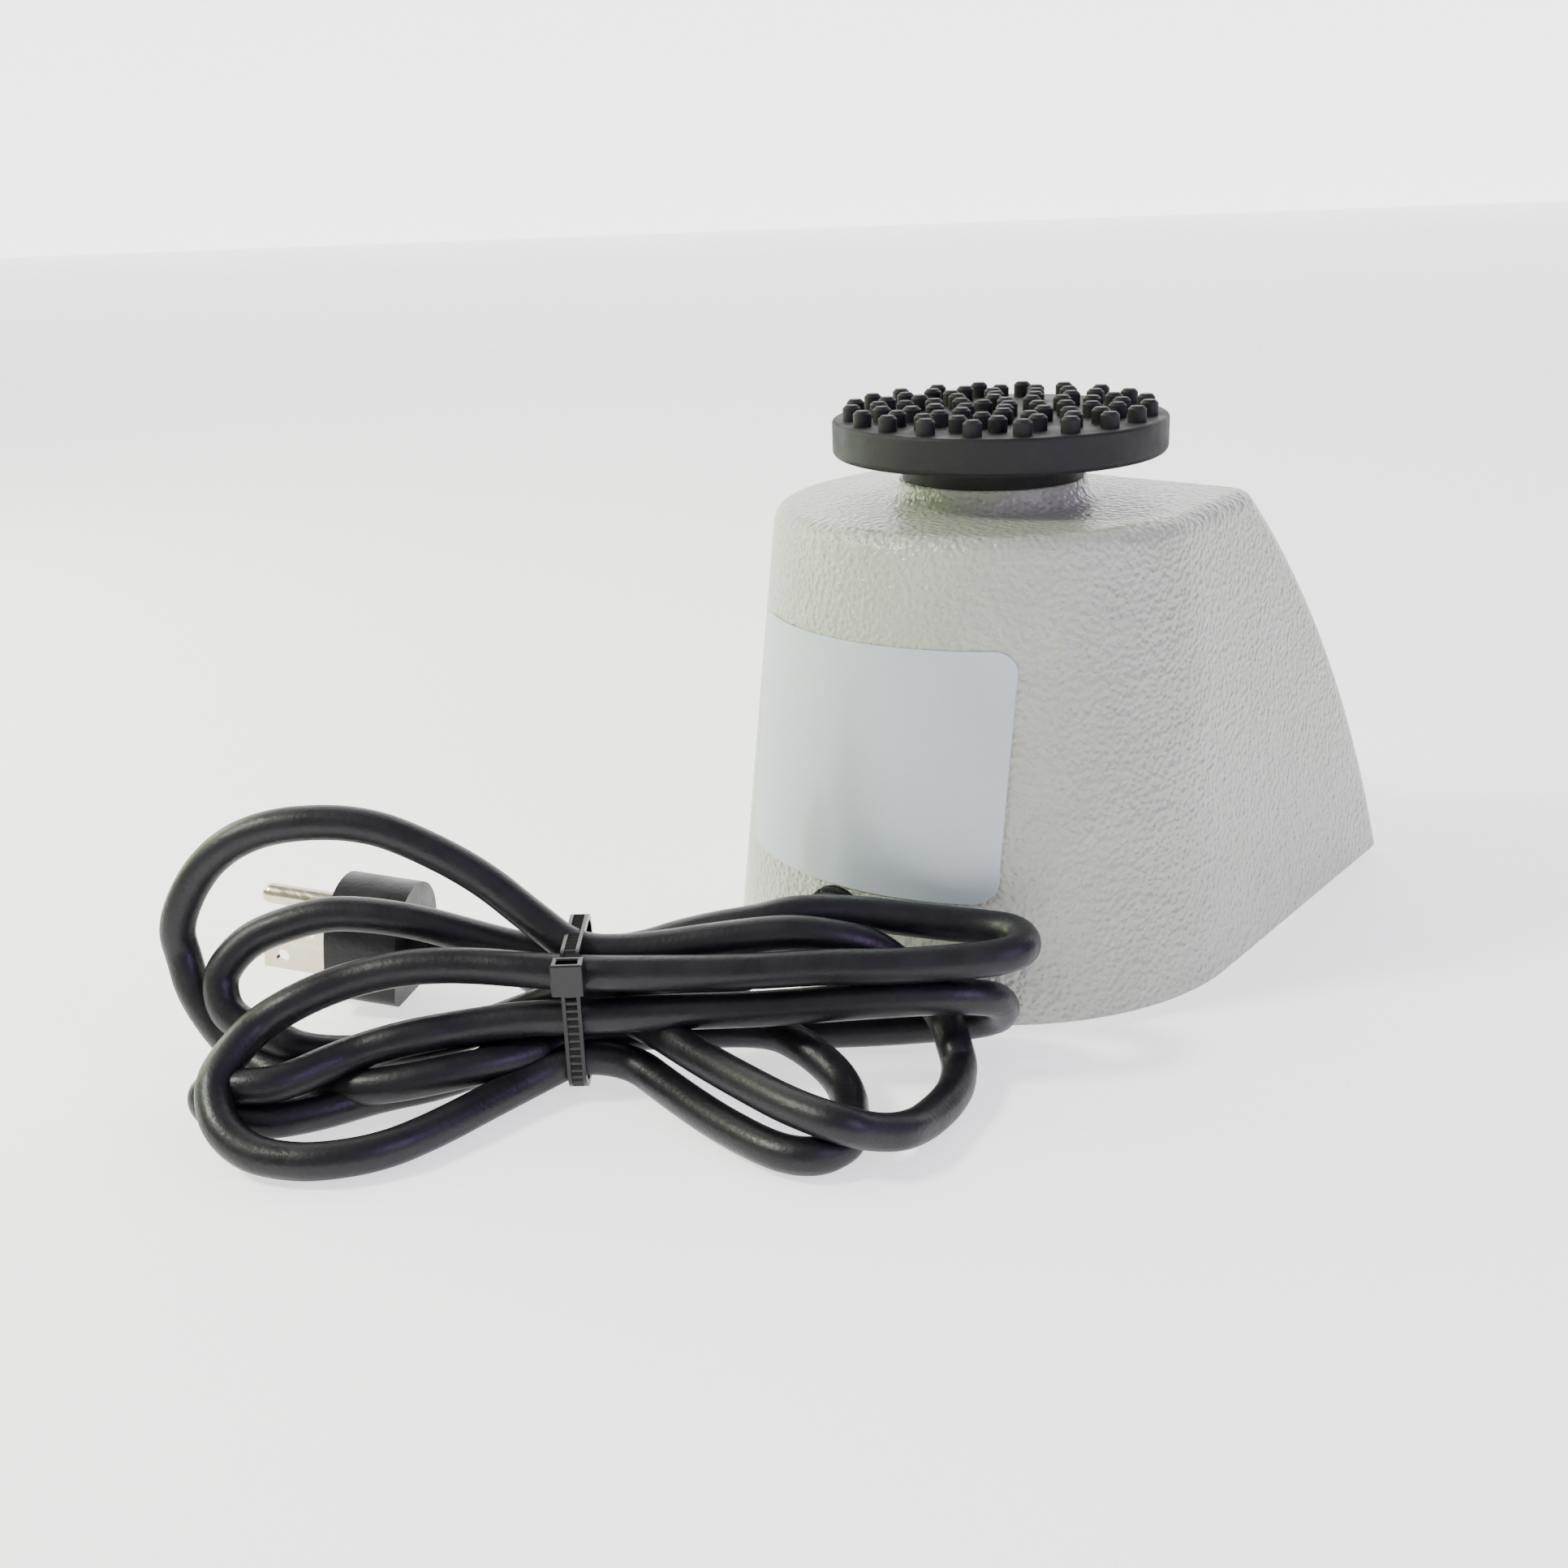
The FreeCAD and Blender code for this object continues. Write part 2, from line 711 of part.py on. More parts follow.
def front_cutter(body, name, low, high, radius):
    """What lies in front of the arc, seen from the side: y runs along the sketch's x."""
    sketch = new_sketch(body, name + "Side", "YZ_Plane")
    centre = Vector(value("front_centre_y"), value("front_centre_z"), 0)
    size = measure(radius)
    bottom = measure(low) - END_SPARE
    top = measure(high) + END_SPARE

    def on_arc(level):
        return Vector(centre.x - math.sqrt(size ** 2 - (level - centre.y) ** 2), level, 0)

    outer = -value("body_length") / 2 - SIDE_SPARE
    start = on_arc(top)
    end = on_arc(bottom)
    angles = [math.atan2(point.y - centre.y, point.x - centre.x) for point in (start, end)]
    circle = Part.Circle(centre, Vector(0, 0, 1), size)
    sketch.addGeometry(Part.ArcOfCircle(circle, angles[0], angles[1]))
    sketch.addGeometry(Part.LineSegment(end, Vector(outer, bottom, 0)))
    sketch.addGeometry(Part.LineSegment(Vector(outer, bottom, 0), Vector(outer, top, 0)))
    sketch.addGeometry(Part.LineSegment(Vector(outer, top, 0), start))
    add = sketch.addConstraint
    add(Sketcher.Constraint("Coincident", 0, 2, 1, 1))
    add(Sketcher.Constraint("Coincident", 1, 2, 2, 1))
    add(Sketcher.Constraint("Coincident", 2, 2, 3, 1))
    add(Sketcher.Constraint("Coincident", 3, 2, 0, 1))
    add(Sketcher.Constraint("Horizontal", 1))
    add(Sketcher.Constraint("Vertical", 2))
    add(Sketcher.Constraint("Horizontal", 3))
    name_constraint(sketch, "Radius", 0, size, name="arc", expression=radius)
    name_constraint(sketch, "DistanceX", -1, 1, 0, 3, centre.x, name="centre_y",
                    expression="front_centre_y")
    name_constraint(sketch, "DistanceY", 0, 3, -1, 1, -centre.y, name="centre_z",
                    expression="0 - front_centre_z")
    name_constraint(
        sketch, "DistanceX", 2, 1, -1, 1, -outer, name="outer", expression=f"body_length / 2 + {SIDE_SPARE}"
    )
    name_constraint(sketch, "DistanceY", -1, 1, 2, 2, top, name="top", expression=f"{high} + {END_SPARE}")
    name_constraint(
        sketch, "DistanceY", 1, 1, 2, 2, top - bottom, name="span",
        expression=f"{high} - ({low}) + 2 * {END_SPARE}"
    )
    return sketch


def edges_where(shape, test):
    return ["Edge%d" % number for number, edge in enumerate(shape.Edges, start=1) if test(edge)]


def edge_span(edge):
    """The lowest and highest z of an edge."""
    box = edge.BoundBox
    return box.ZMin, box.ZMax


def body_fillet(body, name, radius, test):
    """Rounds the edges of a body's tip that pass a test."""
    tip = body.Tip
    fillet = body.newObject("PartDesign::Fillet", name)
    fillet.Base = (tip, edges_where(tip.Shape, test))
    bind(fillet, {"Radius": radius})
    body.Tip = fillet
    doc.recompute()
    return fillet


def offset_radius(inset, level):
    """The rear radius of the drafted body at a level, less an inset."""
    return f"rear_radius - ({inset}) - draft * (({level}) - foot_gap)"


# ---------------------------------------------------------------- housing
def outer_body():
    """The casting from outside: drafted body, rounded edges and the collar on its top."""
    body = drafted_block("Outer", "rear_radius", "top_rear_radius", "foot_gap", "housing_top",
                         "front_radius")
    top = value("housing_top")
    centre_y = value("head_y")

    def front_corner(edge):
        low, high = edge_span(edge)
        middle = edge.BoundBox.Center
        return high - low > 0.8 * (top - value("foot_gap")) and middle.y < 0 and abs(middle.x) > 10

    def top_rim(edge):
        low, high = edge_span(edge)
        return low > top - 0.01 and high < top + 0.01

    body_fillet(body, "FrontCorners", "front_corner_radius", front_corner)
    body_fillet(body, "TopEdge", "top_edge_radius", top_rim)
    sketch = new_sketch(body, "CollarPlan", "XY_Plane", shift_z="housing_top")
    sketch.addGeometry(Part.Circle(Vector(0, centre_y, 0), Vector(0, 0, 1), value("collar_radius")))
    sketch.addConstraint(Sketcher.Constraint("PointOnObject", 0, 3, -2))
    name_constraint(sketch, "Radius", 0, value("collar_radius"), name="collar", expression="collar_radius")
    name_constraint(sketch, "DistanceY", -1, 1, 0, 3, centre_y, name="axis", expression="head_y")
    doc.recompute()
    pad = body.newObject("PartDesign::Pad", "Collar")
    pad.Profile = sketch
    bind(pad, {"Length": "collar_height"})
    body.Tip = pad
    doc.recompute()

    def collar_foot(edge):
        low, high = edge_span(edge)
        width = edge.BoundBox.XLength
        return low > top - 0.01 and high < top + 0.01 and abs(width - 2 * value("collar_radius")) < 0.5

    def collar_rim(edge):
        return edge_span(edge)[0] > value("collar_top") - 0.01

    body_fillet(body, "CollarFlare", "collar_flare", collar_foot)
    body_fillet(body, "CollarLip", "collar_lip", collar_rim)
    return body


def inner_body():
    """The hollow inside the casting, open below."""
    low = "foot_gap - cut_spare"
    return drafted_block(
        "Inner", offset_radius("wall", low), offset_radius("wall", "inner_top"), low, "inner_top",
        "front_radius - wall",
    )


def boss_places():
    """Where the base plate is screwed on."""
    return [
        (f"{side} * {name}_boss_x", f"{name}_boss_y") for name in ("front", "rear") for side in (-1, 1)
    ]


def foot_places():
    places = [(f"{side} * front_foot_spread", "front_foot_y") for side in (-1, 1)]
    return places + [(f"{side} * rear_foot_x", "rear_foot_y") for side in (-1, 1)]


def bolt_places():
    return [(f"{x} * bolt_spread", f"head_y + {y} * bolt_spread") for x, y in corners()]


def on_panel(item):
    """Moves a piece from panel coordinates to the front: x to the right, y up the slope, z out."""
    item.Placement = Placement(Vector(0, 0, 0), Rotation(Vector(1, 0, 0), value("panel_tilt")))
    return bind(item, {
        "Placement.Base.y": "panel_y",
        "Placement.Base.z": "panel_z",
        "Placement.Rotation.Angle": "panel_tilt * 1 deg",
    })


def housing():
    shell = cut(outer_body(), inner_body())
    pad = on_panel(group([rounded_block(
        "panel_width - 2 * panel_rim", "panel_height - 2 * panel_rim", "panel_wall", "panel_corner",
        ("0", "0", "0 - panel_wall"),
    )]))
    bosses = [
        cylinder("boss_radius", "boss_height", (x, y, "plate_top")) for x, y in boss_places()
    ]
    bolt_bosses = [
        cylinder("bolt_boss_radius", "bolt_boss_height + top_wall / 2",
                 (x, y, "inner_top - bolt_boss_height"))
        for x, y in bolt_places()
    ]
    solid = fuse(shell, pad, *bosses, *bolt_bosses)
    recess = rounded_block("panel_width", "panel_height", "3 * panel_depth", "panel_corner")
    barrel = block(
        "barrel_width + 2 * barrel_clearance", "barrel_height + 2 * barrel_clearance",
        "2 * panel_wall + 2 * panel_depth", ("0 - switch_offset", "0", "0 - 2 * panel_wall"),
    )
    bushing = cylinder(
        "bushing_radius + bushing_hole_clearance", "2 * panel_wall + 2 * panel_depth",
        ("knob_offset", "0", "0 - 2 * panel_wall"),
    )
    panel_tools = on_panel(group([fuse(recess, barrel, bushing)]))
    bore = cylinder("collar_bore", "collar_height + 2 * top_wall", ("0", "head_y", "inner_top - cut_spare"))
    screw_holes = [
        cylinder("screw_radius", "screw_engagement + cut_spare", (x, y, "plate_top")) for x,
        y in boss_places()
    ]
    bolt_holes = [
        cylinder("bolt_radius", "bolt_depth", (x, y, "inner_top - bolt_boss_height")) for x,
        y in bolt_places()
    ]
    relief_hole = cylinder(
        "relief_neck_radius + relief_hole_clearance", "4 * wall",
        ("0", "relief_wall_y - 3 * wall", "cord_level"),
        ALONG_Y,
    )
    relief_seat = cylinder(
        "relief_flange_radius + relief_hole_clearance", "2 * wall", ("0", "relief_seat_y", "cord_level"),
        ALONG_Y
    )
    return node("housing", cut(
        solid, panel_tools, bore, relief_hole, relief_seat, *screw_holes, *bolt_holes
    ))


# ---------------------------------------------------------------- base plate, screws, feet
def base_plate():
    body = doc.addObject("PartDesign::Body", "BasePlate")
    sketch = plan_sketch(body, "PlatePlan", "plate_radius", "plate_bottom", "plate_front")
    doc.recompute()
    pad = body.newObject("PartDesign::Pad", "Plate")
    pad.Profile = sketch
    bind(pad, {"Length": "plate_thickness"})
    body.Tip = pad
    doc.recompute()
    screw_holes = [
        cylinder("screw_radius + screw_hole_clearance", "3 * plate_thickness", (x, y, "foot_gap"))
        for x, y in boss_places()
    ]
    foot_holes = [
        cylinder("foot_stem_radius", "3 * plate_thickness", (x, y, "foot_gap")) for x, y in foot_places()
    ]
    earth_hole = cylinder("earth_screw_radius", "3 * plate_thickness",
                          ("earth_spread", "earth_y", "foot_gap"))
    return node("base_plate", cut(body, *screw_holes, *foot_holes, earth_hole))


def pan_screw(radius, length, head_radius, head_height, at, down=False):
    """A screw whose head sits below its seat, or above it, with a cross recess."""
    x, y, seat = at
    head_low = f"{seat} - ({head_height})" if down else seat
    shank_low = seat if down else f"{seat} - ({length})"
    recess_low = head_low if down else f"{seat} + ({head_height}) / 2"
    shank = cylinder(radius, length, (x, y, shank_low))
    head = cylinder(head_radius, head_height, (x, y, head_low))
    slots = [
        block(f"slot_span * ({head_radius})", "slot_width", f"({head_height}) / 2", (x, y, recess_low)),
        block("slot_width", f"slot_span * ({head_radius})", f"({head_height}) / 2", (x, y, recess_low)),
    ]
    return cut(fuse(shank, head), *slots)


def base_screws():
    return node("base_screws", group([
        pan_screw(
            "screw_radius", "plate_thickness + screw_engagement", "screw_head_radius", "screw_head_height",
            (x, y, "plate_bottom"), down=True,
        ) for x, y in boss_places()
    ]))


def rubber_feet():
    feet = []
    for x, y in foot_places():
        pad = cone("foot_radius - foot_taper", "foot_radius", "plate_bottom", (x, y, "0"))
        stem = cylinder("foot_stem_radius", "plate_thickness", (x, y, "plate_bottom"))
        barb = cone("foot_barb_radius", "foot_stem_radius", "foot_barb_height", (x, y, "plate_top"))
        feet.append(fuse(pad, stem, barb))
    return node("rubber_feet", group(feet))


# ---------------------------------------------------------------- control panel
def panel_overlay():
    sheet_metal = rounded_block(
        "panel_width - 2 * overlay_clearance", "panel_height - 2 * overlay_clearance", "overlay_thickness",
        "panel_corner - overlay_clearance",
    )
    barrel = block(
        "barrel_width + 2 * barrel_clearance", "barrel_height + 2 * barrel_clearance",
        "3 * overlay_thickness",
        ("0 - switch_offset", "0", "0 - overlay_thickness"),
    )
    bushing = cylinder(
        "bushing_radius + bushing_hole_clearance", "3 * overlay_thickness",
        ("knob_offset", "0", "0 - overlay_thickness"),
    )
    return node("panel_overlay", on_panel(cut(sheet_metal, barrel, bushing)))


def potentiometer():
    back = ("knob_offset", "0", "0 - panel_wall - pot_depth")
    case = cylinder("pot_radius", "pot_depth", back)
    bushing = cylinder("bushing_radius", "panel_wall + bushing_reach",
                       ("knob_offset", "0", "0 - panel_wall"))
    bore = cylinder(
        "dial_shaft_radius + dial_shaft_clearance", "dial_shaft_length + pot_depth",
        ("knob_offset", "0", "dial_shaft_low - dial_shaft_clearance"),
    )
    lugs = [
        block("lug_width", "lug_length", "lug_thickness", (
            f"knob_offset + {step} * lug_pitch", "0 - pot_radius - lug_length / 2 + lug_root",
            "pot_back / 2 - panel_wall - pot_depth",
        ))
        for step in (-1, 0, 1)
    ]
    return node("potentiometer_body", on_panel(cut(fuse(case, bushing, *lugs), bore)))


def potentiometer_nut():
    nut = doc.addObject("Part::Prism", "Hexagon")
    nut.Polygon = 6
    bind(nut, {"Circumradius": "pot_nut_radius", "Height": "pot_nut_height"})
    put(nut, ("knob_offset", "0", "overlay_thickness"))
    hole = cylinder("bushing_radius", "3 * pot_nut_height", ("knob_offset", "0", "0 - pot_nut_height"))
    return node("potentiometer_nut", on_panel(cut(nut, hole)))


def knob():
    """A skirted knob, fluted round its crown, hollow below to clear the nut."""
    skirt = cylinder("knob_radius", "knob_skirt_height", ("knob_offset", "0", "knob_bottom"))
    crown = cone(
        "knob_crown_radius + knob_draft", "knob_crown_radius", "knob_height - knob_skirt_height",
        ("knob_offset", "0", "knob_bottom + knob_skirt_height"),
    )
    top = doc.addObject("Part::Fillet", "KnobTop")
    top.Base = fuse(skirt, crown)
    doc.recompute()
    high = measure("knob_bottom + knob_height")
    rounding = value("knob_top_radius")
    top.Edges = [
        (number, rounding, rounding) for number, edge in enumerate(top.Base.Shape.Edges, start=1)
        if edge_span(edge)[0] > high - 0.01
    ]
    flutes = []
    count = int(value("knob_flutes"))
    for index in range(count):
        angle = 360 / count * index
        flutes.append(cylinder("knob_flute_radius", "knob_height", (
            f"knob_offset + (knob_crown_radius + flute_reach) * cos({angle} deg)",
            f"(knob_crown_radius + flute_reach) * sin({angle} deg)",
            "knob_bottom + knob_skirt_height",
        )))
    hollow = cylinder("knob_hollow_radius", "knob_hollow_depth", ("knob_offset", "0", "knob_bottom"))
    bore = cylinder(
        "dial_shaft_radius", "dial_shaft_low + dial_shaft_length - knob_bottom",
        ("knob_offset", "0", "knob_bottom")
    )
    return node("speed_knob", on_panel(cut(top, hollow, bore, *flutes)))


def knob_pointer():
    """The raised line on the knob that points at the dial."""
    line = block(
        "pointer_width", "pointer_length", "pointer_height",
        ("knob_offset", "knob_crown_radius - pointer_inset - pointer_length / 2",
         "knob_bottom + knob_height"),
    )
    return node("knob_pointer", on_panel(group([line])))


def dial_shaft():
    shaft = cylinder("dial_shaft_radius", "dial_shaft_length", ("knob_offset", "0", "dial_shaft_low"))
    return node("dial_shaft", on_panel(group([shaft])))


def rocker_switch_body():
    barrel = block(
        "barrel_width", "barrel_height", "barrel_depth + overlay_thickness",
        ("0 - switch_offset", "0", "0 - barrel_depth"),
    )
    bezel = rounded_block(
        "bezel_width", "bezel_height", "bezel_thickness", "bezel_corner",
        ("0 - switch_offset", "0", "overlay_thickness")
    )
    tabs = [
        block("tab_thickness", "tab_width", "tab_length", (
            "0 - switch_offset", f"{step} * tab_pitch", "0 - barrel_depth - tab_length",
        ))
        for step in (-1, 0, 1)
    ]
    well = block(
        "rocker_width + 2 * rocker_side_gap", "rocker_height + 2 * rocker_end_gap",
        "rocker_well_depth + cut_spare",
        ("0 - switch_offset", "0", "overlay_thickness + bezel_thickness - rocker_well_depth"),
    )
    pin_span = "rocker_width + 2 * (rocker_side_gap + rocker_pin_length + pin_clearance)"
    pin_hole = cylinder(
        "rocker_pin_radius + pin_clearance", pin_span,
        (f"0 - switch_offset - ({pin_span}) / 2", "0", "pivot_height"),
        ALONG_X,
    )
    return node("rocker_switch_body", on_panel(cut(fuse(barrel, bezel, *tabs), well, pin_hole)))


def rocker_paddle():
    paddle = block(
        "rocker_width", "rocker_height", "rocker_thickness",
        ("0 - switch_offset", "0", "pivot_height - rocker_thickness / 2"),
    )
    hollow = cylinder(
        "rocker_hollow_radius", "2 * rocker_width",
        (
            "0 - switch_offset - rocker_width", "0",
            "pivot_height + rocker_thickness / 2 + rocker_hollow_radius - rocker_hollow_depth",
        ),
        ALONG_X,
    )
    pin_span = "rocker_width + 2 * (rocker_side_gap + rocker_pin_length)"
    pin = cylinder(
        "rocker_pin_radius", pin_span, (f"0 - switch_offset - ({pin_span}) / 2", "0", "pivot_height"),
        ALONG_X
    )
    return node("rocker_paddle", on_panel(fuse(cut(paddle, hollow), pin)))


# ---------------------------------------------------------------- motor
def end_frame(label, plate_low, leg_low, leg_length, boss_low, boss_height):
    """A cast end frame: square plate, four legs to the stator and a boss round the bush."""
    plate = rounded_block("frame_side", "frame_side", "frame_thickness", "frame_corner",
                          ("0", "head_y", plate_low))
    legs = [cylinder("frame_leg_radius", leg_length, (x, y, leg_low)) for x, y in bolt_places()]
    boss = cylinder("bearing_boss_radius", boss_height, ("0", "head_y", boss_low))
    bolt_holes = [
        cylinder("bolt_radius + bolt_hole_clearance", "stator_height + 3 * upper_leg_length",
                 (x, y, f"{plate_low} - upper_leg_length - cut_spare"))
        for x, y in bolt_places()
    ]
    bore = cylinder("bush_radius", "bush_length", ("0", "head_y", boss_low))
    vents = [
        block("frame_side / 3", "vent_width", "3 * frame_thickness", (
            "0", f"head_y + {side} * vent_offset", f"{plate_low} - frame_thickness",
        ))
        for side in (-1, 1)
    ]
    return node(label, cut(fuse(plate, boss, *legs), bore, *vents, *bolt_holes))


def bushes():
    upper = tube(
        "bush_radius", "shaft_radius + shaft_clearance", "bush_length",
        ("0", "head_y", "upper_boss_top - bush_length")
    )
    node("upper_bush", group([upper]))
    lower = tube("bush_radius", "shaft_radius + shaft_clearance", "lower_bush_length",
                 ("0", "head_y", "lower_boss_bottom"))
    node("lower_bush", group([lower]))


def pole_block(depth, width, height, middle, low):
    """Four blocks round the motor axis, each standing across its pole."""
    across = [
        block(width, depth, height, ("0", f"head_y + {side} * ({middle})", low)) for side in (-1, 1)
    ]
    along = [
        block(depth, width, height, (f"{side} * ({middle})", "head_y", low)) for side in (-1, 1)
    ]
    return across + along


def stator_core():
    core = rounded_block("frame_side", "frame_side", "stator_height", "frame_corner",
                         ("0", "head_y", "stator_bottom"))
    window = cylinder("stator_window", "2 * stator_height",
                      ("0", "head_y", "stator_bottom - stator_height / 2"))
    poles = pole_block(
        "stator_window - stator_bore + 2 * pole_overlap", "pole_width", "stator_height",
        "(stator_window + stator_bore) / 2", "stator_bottom",
    )
    bore = cylinder("stator_bore", "2 * stator_height",
                    ("0", "head_y", "stator_bottom - stator_height / 2"))
    bolt_holes = [
        cylinder("bolt_radius + bolt_hole_clearance", "2 * stator_height",
                 (x, y, "stator_bottom - cut_spare"))
        for x, y in bolt_places()
    ]
    return node("stator_core", cut(fuse(cut(core, window), *poles), bore, *bolt_holes))


def field_coils():
    depth = "coil_outer - coil_inner"
    middle = "(coil_outer + coil_inner) / 2"
    outer = pole_block(
        depth, "2 * coil_half", "stator_height + 2 * (coil_wall + coil_clearance)", middle,
        "stator_bottom - coil_wall - coil_clearance",
    )
    inner = pole_block(
        f"2 * ({depth})", "pole_width + 2 * coil_clearance", "stator_height + 2 * coil_clearance", middle,
        "stator_bottom - coil_clearance",
    )
    return node("field_coils", group([cut(a, b) for a, b in zip(outer, inner)]))


def motor_bolts():
    """Four long bolts that pass through the motor and hold it to the top of the housing."""
    length = "inner_top - bolt_boss_height + bolt_depth - lower_frame_bottom"
    bolts = []
    for x, y in bolt_places():
        shank = cylinder("bolt_radius", length, (x, y, "lower_frame_bottom"))
        head = doc.addObject("Part::Prism", "Hexagon")
        head.Polygon = 6
        bind(head, {"Circumradius": "bolt_head_radius", "Height": "bolt_head_height"})
        put(head, (x, y, "lower_frame_bottom - bolt_head_height"))
        bolts.append(fuse(shank, head))
    return node("motor_bolts", group(bolts))


def motor_isolators():
    return node("motor_isolators", group([
        tube("isolator_radius", "bolt_radius + bolt_hole_clearance", "isolator_height", (x, y, "frame_top"))
        for x, y in bolt_places()
    ]))


def rotor_core():
    core = tube(
        "stator_bore - air_gap", "shaft_radius", "stator_height", ("0", "head_y", "stator_bottom")
    )
    return node("rotor_core", group([core]))


def motor_shaft():
    shaft = cylinder("shaft_radius", "crank_bottom + shaft_seat - shaft_end", ("0", "head_y", "shaft_end"))
    return node("motor_shaft", group([shaft]))


def cooling_fan():
    hub = tube("fan_hub_radius", "shaft_radius", "fan_height", ("0", "head_y", "fan_bottom"))
    count = int(value("fan_blades"))
    blades = []
    for index in range(count):
        blade = doc.addObject("Part::Box", "Blade")
        bind(blade, {
            "Length": "fan_radius - fan_hub_radius + fan_blade_root", "Width": "fan_blade",
            "Height": "fan_height",
        })
        put(blade, ("fan_hub_radius - fan_blade_root", "0 - fan_blade / 2", "0"))
        turned = group([blade])
        turned.Placement = Placement(Vector(0, 0, 0), Rotation(Vector(0, 0, 1), 360 / count * index))
        bind(turned, {"Placement.Base.y": "head_y", "Placement.Base.z": "fan_bottom"})
        blades.append(turned)
    return node("cooling_fan", fuse(hub, *blades))


# ---------------------------------------------------------------- eccentric drive
def crank():
    """The crank on top of the shaft, with the pin that carries the head off the axis."""
    hub = cylinder("crank_radius", "crank_height", ("0", "head_y", "crank_bottom"))
    root = cylinder("pin_root_radius", "bearing_bottom - crank_top", ("0", "pin_y", "crank_top"))
    pin = cylinder("pin_radius", "bearing_width", ("0", "pin_y", "bearing_bottom"))
    shaft_bore = cylinder("shaft_radius", "shaft_seat", ("0", "head_y", "crank_bottom"))
    screw_bore = cylinder(
        "set_screw_radius", "2 * crank_radius - shaft_radius / 2",
        ("0", "head_y - 2 * crank_radius", "set_screw_level"),
        ALONG_Y,
    )
    pin_bore = cylinder("bearing_screw_radius", "bearing_width", ("0", "pin_y", "bearing_bottom"))
    return node("eccentric_crank", cut(fuse(hub, root, pin), shaft_bore, screw_bore, pin_bore))


def crank_set_screw():
    screw = cylinder(
        "set_screw_radius", "crank_radius - shaft_radius - set_screw_recess",
        ("0", "head_y - crank_radius + set_screw_recess", "set_screw_level"), ALONG_Y,
    )
    return node("crank_set_screw", group([screw]))


def counterweight():
    """Half a ring on the side away from the pin."""
    ring = tube("weight_radius", "crank_radius", "weight_height", ("0", "head_y", "crank_bottom"))
    half = block("3 * weight_radius", "2 * weight_radius", "3 * weight_height",
                 ("0", "head_y + weight_radius", "crank_bottom - weight_height"))
    return node("counterweight", common(ring, half))


def head_bearing():
    at = ("0", "pin_y", "bearing_bottom")
    node("bearing_inner_race", group([tube("inner_race_radius", "pin_radius", "bearing_width", at)]))
    node("bearing_outer_race", group([
        tube("bearing_radius", "bearing_radius - outer_race_wall", "bearing_width", at)
    ]))
    count = int(value("ball_count"))
    track = "(bearing_radius - outer_race_wall + inner_race_radius) / 2"
    balls = []
    for index in range(count):
        ball = doc.addObject("Part::Sphere", "Ball")
        angle = 360 / count * index
        gap = "bearing_radius - outer_race_wall - inner_race_radius"
        bind(ball, {"Radius": f"({gap}) / 2 - ball_clearance"})
        put(ball, (f"({track}) * cos({angle} deg)", f"pin_y + ({track}) * sin({angle} deg)",
                   "bearing_bottom + bearing_width / 2"))
        balls.append(ball)
    node("bearing_balls", group(balls))


def bearing_screw():
    screw = pan_screw(
        "bearing_screw_radius", "bearing_width", "bearing_screw_head", "bearing_screw_head_height",
        ("0", "pin_y", "bearing_top"),
    )
    return node("bearing_screw", screw)


# ---------------------------------------------------------------- head
def head_plate():
    plate = cylinder("head_plate_radius", "head_plate_thickness", ("0", "pin_y", "head_plate_bottom"))
    hub = cylinder("head_hub_radius", "head_hub_length", ("0", "pin_y", "head_hub_bottom"))
    bore = cylinder("bearing_radius", "bearing_width", ("0", "pin_y", "bearing_bottom"))
    mouth = cylinder("bearing_radius - outer_race_wall", "2 * bearing_recess",
                     ("0", "pin_y", "head_hub_bottom - bearing_recess"))
    top = cylinder("bearing_screw_head + screw_head_room", "2 * head_plate_thickness",
                   ("0", "pin_y", "bearing_top - bearing_recess"))
    return node("head_plate", cut(fuse(plate, hub), bore, mouth, top))


def rubber_platform():
    """The rubber disc, moulded over the plate, with rings of round studs on its top."""
    disc = doc.addObject("Part::Fillet", "Disc")
    disc.Base = cylinder("platform_radius", "platform_thickness", ("0", "pin_y", "platform_bottom"))
    doc.recompute()
    roundings = []
    for number, edge in enumerate(disc.Base.Shape.Edges, start=1):
        low, high = edge_span(edge)
        if high - low < 0.01:
            lower = low < measure("(platform_bottom + platform_top) / 2")
            radius = value("platform_edge_radius" if lower else "platform_top_radius")
            roundings.append((number, radius, radius))
    disc.Edges = roundings
    recess = cylinder("head_plate_radius", "head_plate_top - platform_bottom",
                      ("0", "pin_y", "platform_bottom"))
    studs = []
    for ring, count, first in STUD_RINGS:
        for index in range(count):
            angle = first + 360 / count * index
            at = (f"{ring} * cos({angle} deg)", f"pin_y + {ring} * sin({angle} deg)",
                  "platform_top - stud_sink")
            studs.append(cylinder("stud_radius", "stud_height + stud_sink - stud_rounding", at))
            tip = cone("stud_radius", "stud_radius - stud_rounding", "stud_rounding",
                       (at[0], at[1], "platform_top + stud_height - stud_rounding"))
            studs.append(tip)
    return node("rubber_platform", fuse(cut(disc, recess), *studs))


def collar_seal():
    """The rubber boot in the collar, up to just below the disc, that keeps liquid out."""
    sleeve = cylinder("collar_bore", "seal_depth", ("0", "head_y", "seal_bottom"))
    flange = cylinder("seal_flange_radius", "seal_rise", ("0", "head_y", "collar_top"))
    bore = cylinder("seal_bore", "2 * (seal_depth + seal_rise)", ("0", "head_y", "seal_bottom - cut_spare"))
    return node("collar_seal", cut(fuse(sleeve, flange), bore))


